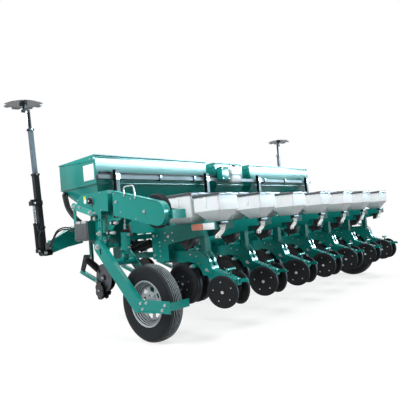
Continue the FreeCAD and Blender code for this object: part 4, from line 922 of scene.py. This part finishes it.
# Acrylonitrile butadiene styrene, moulded against a grained tool: mid grey, soft sheen.
abs_grey = coat("grained_abs", "44494E", 0.34, tone=0.06, tone_mm=120, pit=0.25, pit_mm=9,
                Specular_IOR_Level=0.35)
# The same plastic in a paler grade for latches, hinges and a painted highlight: light grey, satin.
pale_abs_and_highlight = coat("pale_abs_and_painted_highlight", "8E979B", 0.40, tone=0.06, tone_mm=80, pit=0.2, pit_mm=9)
OVER, PANEL_RISE = 0.011, 0.004


def lid(bm, x, y0, y1, low, high):
    """A moulded lid: skirt, rounded shoulder, raised middle panel and a pale latch at its rear."""
    roof_z = high.z - PANEL_RISE
    mine = tub((x - HOP_HALF - OVER, y0 - OVER, low.z), (x + HOP_HALF + OVER, y1 + OVER, roof_z), 0.024)
    roof = [f for f in mine.faces if f.normal.z > 0.9]
    bmesh.ops.inset_region(mine, faces=roof, thickness=0.026, depth=0, use_even_offset=True)
    bmesh.ops.inset_region(mine, faces=roof, thickness=0.005, depth=PANEL_RISE, use_even_offset=True)
    shoulder = [e for e in mine.edges if all(abs(v.co.z - roof_z) < 1e-5 for v in e.verts)
                and e.calc_face_angle(0) > math.radians(60)]
    soften(mine, shoulder, 0.009, 3)
    pour(mine, bm)
    block(bm, (x - 0.045, low.y - 0.005, low.z + 0.002), (x + 0.045, low.y + 0.012, low.z + 0.020), 0.003, 1)


for number, x in enumerate(row_xs, 1):
    name = "hopper_lid_%d" % number
    low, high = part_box(name)
    bm = bmesh.new()
    lid(bm, x, REAR[0], REAR[1], low, high)
    # A pale strip along the lid's lower rear edge: a painted highlight.
    block(bm, (x - 0.135, low.y - 0.0015, low.z + 0.0005), (x + 0.135, low.y + 0.008, low.z + 0.007),
          0.001, 1)
    knuckle = Vector((x, high.y - 0.004, low.z + 0.010))
    for side in (-1, 1):
        drum(bm, knuckle + X * side * 0.06, knuckle + X * side * 0.11, 0.007, 1, 14)
    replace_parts(piece(name + "_moulding", bm, name, [abs_grey, pale_abs_and_highlight], 35), name)
bm = bmesh.new()
low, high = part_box("front_hopper_lids")
for x in row_xs:
    lid(bm, x, FRONT[0], FRONT[1], low, high)
made = piece("front_lid_mouldings", bm, "frame", [abs_grey, pale_abs_and_highlight], 35)
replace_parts(made, "front_hopper_lids")
bm = bmesh.new()
for x in row_xs:
    for side in (-1, 1):
        face_x, rib_x = x + side * HOP_HALF, x + side * (HOP_HALF + 0.0035)
        block(bm, (face_x, -1.075, 1.225), (rib_x, -1.045, 1.318), 0.001)
        block(bm, (face_x, -0.720, 1.215), (rib_x, -0.690, 1.355), 0.001)
    block(bm, (x - HOP_HALF, REAR[0] - 0.003, 1.296), (x + HOP_HALF, REAR[0], 1.302), 0.001)
piece("hopper_ribs", bm, "frame", [white_poly])

# ---- Fertiliser tanks and their lids -------------------------------------------------
# Folded 4 mm sheet, seam-welded and powder-coated. A hem stiffens the rear wall under the lid,
# a flange runs along the crease, and the lids are single folded sheets on a rear hinge pin.
# The tanks' own powder coat, over flat sheet: smooth enough to mirror what stands behind them.
tank_green = coat("tank_powder_coat", "17837B", 0.24, tone=0.07, tone_mm=700, Specular_IOR_Level=0.5)
dress("fertilizer_tanks", "frame", [tank_green, nylon], 0.003,
      lambda at: 1 if at.z < 1.329 and 0.55 < at.y < 0.71 else 0)
low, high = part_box("fertilizer_tanks")
TANK_END, TANK_IN, MID_HALF = 2.334, 0.516, 0.314
REAR_Y, FRONT_Y = low.y, high.y
CREASE_Z, HEM_Z = 1.617, 1.893
spans = {"left": (-TANK_END, -TANK_IN), "middle": (-MID_HALF, MID_HALF), "right": (TANK_IN, TANK_END)}
bm = bmesh.new()
for x0, x1 in spans.values():
    block(bm, (x0, REAR_Y - 0.004, HEM_Z), (x1, REAR_Y + 0.001, HEM_Z + 0.020), 0.0015)
    for y0, y1 in ((REAR_Y - 0.010, REAR_Y + 0.002), (FRONT_Y - 0.002, FRONT_Y + 0.010)):
        block(bm, (x0 - 0.001, y0, CREASE_Z - 0.004), (x1 + 0.001, y1, CREASE_Z + 0.004), 0.0015)
    for x, side in ((x0, -1), (x1, 1)):
        block(bm, (x, REAR_Y, CREASE_Z - 0.004), (x + side * 0.009, FRONT_Y, CREASE_Z + 0.004), 0.0015)
        block(bm, (x, REAR_Y + 0.005, CREASE_Z), (x + side * 0.0016, REAR_Y + 0.045, 1.86), 0.0005)
piece("tank_seams", bm, "frame", [tank_green], 50)
bm = bmesh.new()
block(bm, (-TANK_END - 0.003, 0.285, 1.665), (-TANK_END, 0.480, 1.838), 0.001)
piece("blank_tank_plate", bm, "frame", [white_vinyl])
# The lids stand in the sun and are handled, so their coat has lost some of its shine.
lid_green = coat("lid_powder_coat", "1B8A82", 0.34, tone=0.07, tone_mm=500, Specular_IOR_Level=0.3)
for name, (x0, x1) in spans.items():
    node = "tank_lid_" + name
    dress(node, node, [lid_green], 0.003)
    bm = bmesh.new()
    for x, side in ((x0 - 0.006, -1), (x1 + 0.006, 1)):
        drum(bm, (x, 0.262, HEM_Z), (x + side * 0.006, 0.262, HEM_Z), 0.013, 0, 20)
        bolt(bm, (x, 0.330, HEM_Z), X * side, 0.014)
    piece(node + "_hinge_bolts", bm, node, [zinc])
    bm = bmesh.new()
    middle = (x0 + x1) / 2
    reach = (x1 - x0) / 2
    for offset in (-0.55 * reach, 0.55 * reach) if reach > 0.5 else (0,):
        x = middle + offset
        block(bm, (x - 0.06, 0.966, 1.895), (x + 0.06, 0.984, 1.910))
        drum(bm, (x - 0.045, 0.985, 1.885), (x + 0.045, 0.985, 1.885), 0.008, 0, 12)
    piece(node + "_latches", bm, node, [black])

# ---- Tank frame and what hangs on it -------------------------------------------------
# Black uprights on the toolbar carry a square grey rail on clamps, and the wiring box, the
# white expansion bottle and the hydraulic lines are strapped to the middle tank.
# Grey primer and one coat of grey enamel on box section: dull, even.
rail_grey = coat("grey_enamel", "59656A", 0.5, tone=0.08, tone_mm=150, pit=0.1, pit_mm=12,
                 Specular_IOR_Level=0.25)
RAIL_LOW, RAIL_HIGH = 1.660, 1.708
dress("tank_frame", "frame", [black, rail_grey], 0.004,
      lambda at: 1 if RAIL_LOW - 0.002 < at.z < RAIL_HIGH + 0.002 and 0.1975 < at.y < 0.2465 else 0)
bm = bmesh.new()
for x in (-1.44, -0.83, 0.83, 1.44):
    block(bm, (x - 0.020, 0.188, RAIL_LOW - 0.010), (x + 0.020, REAR_Y, RAIL_HIGH + 0.010))
    bolt(bm, (x, 0.188, RAIL_HIGH - 0.005), -Y, 0.016, 1)
for x in (-2.28, -1.78, -0.62, 0.62, 1.78, 2.28):
    block(bm, (x - 0.013, 0.246, RAIL_LOW + 0.010), (x + 0.013, REAR_Y, RAIL_HIGH - 0.010), 0.001)
for post in (-2.125, -0.612, 0.612, 2.125):
    for x in (post - 0.015, post + 0.015):
        bolts(bm, x, ((0.150, 1.665), (0.150, 1.703)), -Y, 0.020, 1)
    bolts(bm, post, ((0.19, 1.240), (0.36, 1.240)), Z, 0.020, 1)
piece("rail_clamps", bm, "frame", [black, zinc])
bm = bmesh.new()
for side in (-1, 1):
    drum(bm, (side * 2.340, 0.222, 1.684), (side * 2.349, 0.222, 1.684), 0.020, 0, 20)
block(bm, (-0.354, 0.105, 1.672), (-0.190, 0.197, 1.848), 0.006, 1)
block(bm, (-0.362, 0.100, 1.842), (-0.182, 0.197, 1.850), 0.002, 1)
for x in (-0.34, -0.205):
    bolts(bm, x, ((0.105, 1.69), (0.105, 1.83)), -Y, 0.010, 2)
piece("wiring_box", bm, "frame", [nylon, green, zinc])
bm = bmesh.new()
block(bm, (-0.138, 0.108, 1.632), (0.100, 0.197, 1.868), 0.028)
drum(bm, (-0.02, 0.150, 1.864), (-0.02, 0.150, 1.888), 0.030, 1, 20)
block(bm, (-0.141, 0.102, 1.740), (0.103, 0.112, 1.756), 0.002, 1)
piece("expansion_bottle", bm, "frame", [white_poly, nylon], 50)


def lines(name, routes, radius, body, one_coat):
    """Hoses, wires or bent rods held along their whole run, each through its own points."""
    curve = bpy.data.curves.new(name, "CURVE")
    curve.dimensions = "3D"
    curve.bevel_depth = radius
    curve.bevel_resolution = 3
    curve.use_fill_caps = True
    curve.resolution_u = 8
    for route in routes:
        spline = curve.splines.new("NURBS")
        spline.points.add(len(route) - 1)
        for point, at in zip(spline.points, route):
            point.co = (*at, 1)
        spline.order_u = 3
        spline.use_endpoint_u = True
    curve.materials.append(one_coat)
    fit(name, curve, body)


# EPDM rubber cover over a wire braid: black, soft, with a low even sheen.
hose_rubber = coat("hose_rubber", "1D1F21", 0.5, tone=0.15, tone_mm=60, pit=0.25, pit_mm=8)
HOSE_R = 0.008
along_rail = [(-2.30, 0.236, 1.722), (-1.9, 0.232, 1.716), (-1.2, 0.234, 1.719), (-0.6, 0.231, 1.717),
              (-0.36, 0.215, 1.722)]
lines("hydraulic_lines", [[(x, y, z + dz) for x, y, z in along_rail] for dz in (0, 0.018)], HOSE_R, "frame",
      hose_rubber)
# Two thick fertiliser hoses drop from under the tank's front corner, behind the link plate.
corner = [(-2.290, 0.900, 1.590), (-2.372, 0.868, 1.578), (-2.378, 0.836, 1.499), (-2.380, 0.806, 1.409),
          (-2.378, 0.738, 1.331), (-2.374, 0.647, 1.253), (-2.330, 0.600, 1.200)]
lines("corner_hoses", [[(x + dx, y, z) for x, y, z in corner] for dx in (0, 0.038)], 0.0165, "frame",
      hose_rubber)
ram_line = [(-2.330, 0.440, 1.222), (-2.350, 0.240, 1.262), (-2.345, 0.060, 1.250), (-2.325, -0.075, 1.175)]
lines("ram_lines", [[(x + dx, y, z) for x, y, z in ram_line] for dx in (0, 0.020)], HOSE_R, "frame",
      hose_rubber)
# Bent round bar on the drive case, by which it is lifted off the wheel.
lines("case_handle", [[(-2.478, -0.371, 1.405), (-2.479, -0.372, 1.460), (-2.480, -0.380, 1.498),
                       (-2.480, -0.450, 1.499), (-2.480, -0.520, 1.496), (-2.479, -0.526, 1.440),
                       (-2.478, -0.530, 1.368)]], 0.007, "drive_case", zinc)

# ---- Air and fertiliser hoses --------------------------------------------------------
# Rubber hose from the fan's manifold to each seed meter, held by a worm clip at each end.
# Moulded ribs stiffen its first stretch behind the fan.
dress("air_hoses", "frame", [hose_rubber], 0.0)
HOSE_DX = 0.110
HOSE_RIBS = 34
bm = bmesh.new()
for x in row_xs:
    for start in (Vector((x + HOSE_DX, 0.800, 1.290)), Vector((x, -0.575, 0.932))):
        turned(bm, [(-0.007, 0.0225), (0.007, 0.0225), (0.007, 0.0255), (-0.007, 0.0255)], start, Y, 24)
        drum(bm, start + Z * 0.024 - X * 0.008, start + Z * 0.024 + X * 0.008, 0.005, 0, 10)
piece("hose_clips", bm, "frame", [zinc])
bm = bmesh.new()
for x in row_xs:
    for k in range(HOSE_RIBS):
        share = k / (HOSE_RIBS - 1)
        turned(bm, [(-0.004, 0.0220), (0.004, 0.0220), (0.002, 0.0245), (-0.002, 0.0245)],
               (x + HOSE_DX, 0.790 - 0.36 * share, 1.289 - 0.019 * share), Y, 14)
piece("hose_ribs", bm, "frame", [hose_rubber], 60)

# ---- Vacuum fan ----------------------------------------------------------------------
# Pressed scroll housing on the front toolbar, with a guard of concentric rings over its eye and
# a hydraulic motor, and a sheet-steel manifold behind it.
dress("blower", "frame", [green, nylon], 0.004, lambda at: 1 if at.y < 0.895 else 0)
low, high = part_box("blower")
FAN = Vector((-0.300, high.y, 1.420))
bm = bmesh.new()
for reach in (0.030, 0.045, 0.060):
    turned(bm, [(-0.001, reach - 0.003), (0.004, reach - 0.003), (0.004, reach), (-0.001, reach)], FAN, Y, 36)
for k in range(4):
    turn = k * math.pi / 4
    way = Vector((math.cos(turn), 0, math.sin(turn)))
    drum(bm, FAN - way * 0.066 + Y * 0.001, FAN + way * 0.066 + Y * 0.001, 0.003, 0, 8)
for k in range(10):
    turn = k * math.tau / 10
    bolt(bm, FAN + Vector((0.168 * math.cos(turn), -0.004, 0.168 * math.sin(turn))), Y, 0.014, 1)
piece("fan_guard", bm, "frame", [black, zinc])

# ---- Fertiliser openers and row cleaners ---------------------------------------------
# A forged shank clamped to the front toolbar, a spring strut, a pair of coulter discs, and two
# lobed row-cleaner wheels on a forked arm with its straw-yellow depth blade.
# Straw-yellow enamel, brushed on a laser-cut blade.
straw = coat("straw_enamel", "C6B872", 0.4, tone=0.12, tone_mm=60, pit=0.2, pit_mm=10)
COULTER_Y, COULTER_Z = 0.762, 0.548


def opener_coat(at):
    """Black enamel, except for the discs, the depth blade and the green shank and link."""
    off = beside(at)
    reach = math.hypot(at.y - COULTER_Y, at.z - COULTER_Z)
    if 0.004 < off < 0.032 and 0.036 < reach < 0.168:
        return 1
    if off < 0.0101 and at.y < 1.0 and 0.36 < at.z < 0.70:
        return 2
    link_z = 0.614 + (at.y - 1.234) * 0.3465
    on_link = at.y > 0.89 and abs(at.z - link_z) < 0.024 and off < 0.0265
    return 3 if on_link or 0.97 < at.y < 1.05 and at.z > 0.83 else 0


dress("fertilizer_openers", "frame", [black, disc_steel, straw, green], 0.002, opener_coat)
STRUT_WIRE = [(-0.006, 0.026), (0.006, 0.026), (0.006, 0.038), (0.003, 0.043), (-0.003, 0.043),
              (-0.006, 0.038)]
bm = bmesh.new()
for x in row_xs:
    spring(bm, STRUT_WIRE, Vector((x, 0.838, 0.618)), Vector((x, 1.155, 0.795)), 0.065, 0.0185, 13, 20)
    for side in (-1, 1):
        bolts(bm, x + side * 0.034, [(COULTER_Y, COULTER_Z)], X * side, 0.024, 1)
        bolts(bm, x + side * 0.040, [(0.850, 0.395)], X * side, 0.020, 1)
        bolts(bm, x + side * 0.018, ((1.078, 1.055), (1.078, 1.195)), Y, 0.016, 1)
        bolts(bm, x + side * 0.008, ((1.0, 0.79), (1.12, 0.79)), X * side, 0.018, 1)
        bolts(bm, x + side * 0.026, ((1.232, 0.613), (0.915, 0.504)), X * side, 0.018, 1)
piece("opener_springs", bm, "frame", [black, zinc])

# ---- Row markers ---------------------------------------------------------------------
# Upright arms of stepped square tube, black below and slate blue above, in black forks. Each
# has its ram, a clamp where the ram takes hold, and a notched rolled disc on a forged link.
# Dull enamel brushed over rolled tube: black on the lower section, slate blue on the upper one.
brushed = {"tone_mm": 150, "pit": 0.1, "pit_mm": 20, "Specular_IOR_Level": 0.25}
marker_black = coat("marker_enamel", "15181B", 0.5, tone=0.12, **brushed)
slate_blue = coat("slate_blue_enamel", "55616D", 0.5, tone=0.10, **brushed)
MARK_X, MARK_Y, MARK_Z = 2.584, 1.010, 0.915
LEAN = math.radians(2.4)
# How far outboard of the arm's centre line its ram stands.
RAM_OUT = 0.062
# Height and half width of the two collars, at the foot and the head of the upper section.
COLLARS = ((1.812, 0.036), (2.330, 0.030))


def leant(side, out, front, z):
    """A point of an upright marker, that far out and in front of its centre line, with its lean."""
    turn = Matrix.Rotation(side * LEAN, 3, "Y")
    return Vector((side * MARK_X, MARK_Y, MARK_Z)) + turn @ Vector((side * out, front, z - MARK_Z))


def marker_coat(at):
    """Slate blue on the upper section, chrome on the ram's rod and black on the rest."""
    if 1.262 < at.z < 1.465 and abs(at.x) > 2.634:
        return 2
    return 1 if 1.824 < at.z < 2.350 else 0


def leant_block(bm, side, outs, fronts, heights, coat_number=0):
    """A block square to the leaning arm, each span given as (low, high)."""
    corners = [bm.verts.new(leant(side, o, f, z)) for o in outs for f in fronts for z in heights]
    bmesh.ops.convex_hull(bm, input=corners)
    paint(corners, coat_number)


for side, name in SIDES:
    arm, plate = "marker_arm_" + name, "marker_disc_" + name
    dress(arm, arm, [marker_black, slate_blue, chrome], 0.004, marker_coat)
    dress(plate, plate, [disc_steel], 0.001)
    bm = bmesh.new()
    for z, half in COLLARS:
        leant_block(bm, side, (-half, half), (-half, half), (z - 0.012, z + 0.012), 1)
        bolt(bm, leant(side, 0, -half, z), -Y, 0.014)
        bolt(bm, leant(side, -half, 0, z), -X * side, 0.014)
    leant_block(bm, side, (-0.036, 0.096), (-0.036, 0.036), (1.462, 1.512), 1)
    leant_block(bm, side, (-0.036, 0.036), (-0.036, 0.036), (1.190, 1.215), 1)
    for out, front, z, size in ((0, -0.050, MARK_Z, 0.030), (RAM_OUT, -0.036, 1.487, 0.020),
                                (RAM_OUT, -0.022, 0.945, 0.020), (0.053, -0.046, 2.525, 0.018)):
        bolt(bm, leant(side, out, front, z), -Y, size)
    leant_block(bm, side, (0.044, 0.062), (-0.046, -0.036), (2.395, 2.535))
    drum(bm, leant(side, RAM_OUT, 0, 1.236), leant(side, RAM_OUT, 0, 1.262), 0.0265, 1, 24)
    piece(arm + "_fittings", bm, arm, [zinc, marker_black])
    bm = bmesh.new()
    block(bm, (side * 2.520, 0.924, 0.948), (side * 2.588, 0.9605, 1.030), 0.004)
    block(bm, (side * 2.530, 0.918, 0.960), (side * 2.578, 0.926, 1.018), 0.002)
    bolts(bm, side * 2.554, ((0.918, 0.965), (0.918, 1.013)), -Y, 0.010, 1)
    piece("valve_block_" + name, bm, "frame", [grey_cap, zinc])
    runs = [[leant(side, out, -0.024, z), leant(side, 0.068, -0.050, z),
             leant(side, 0.075, -0.058, (z + 1.16) / 2), leant(side, 0.055, -0.060, 1.155),
             leant(side, 0.010, -0.055, 1.165)] for out, z in ((RAM_OUT, 0.985), (RAM_OUT + 0.006, 1.225))]
    lines(arm + "_lines", runs, 0.0065, arm, hose_rubber)
    runs = [[(side * x, y, z - drop * k) for x, y, z, drop in (
        (2.545, 0.915, 1.012, 0.03), (2.545, 0.860, 1.060, 0.02), (2.500, 0.840, 1.160, 0.02),
        (2.380, 0.850, 1.190, 0.02), (2.230, 0.880, 1.150, 0.03), (2.130, 0.940, 1.100, 0.03))]
        for k in range(2)]
    lines("marker_hoses_" + name, runs, HOSE_R, "frame", hose_rubber)
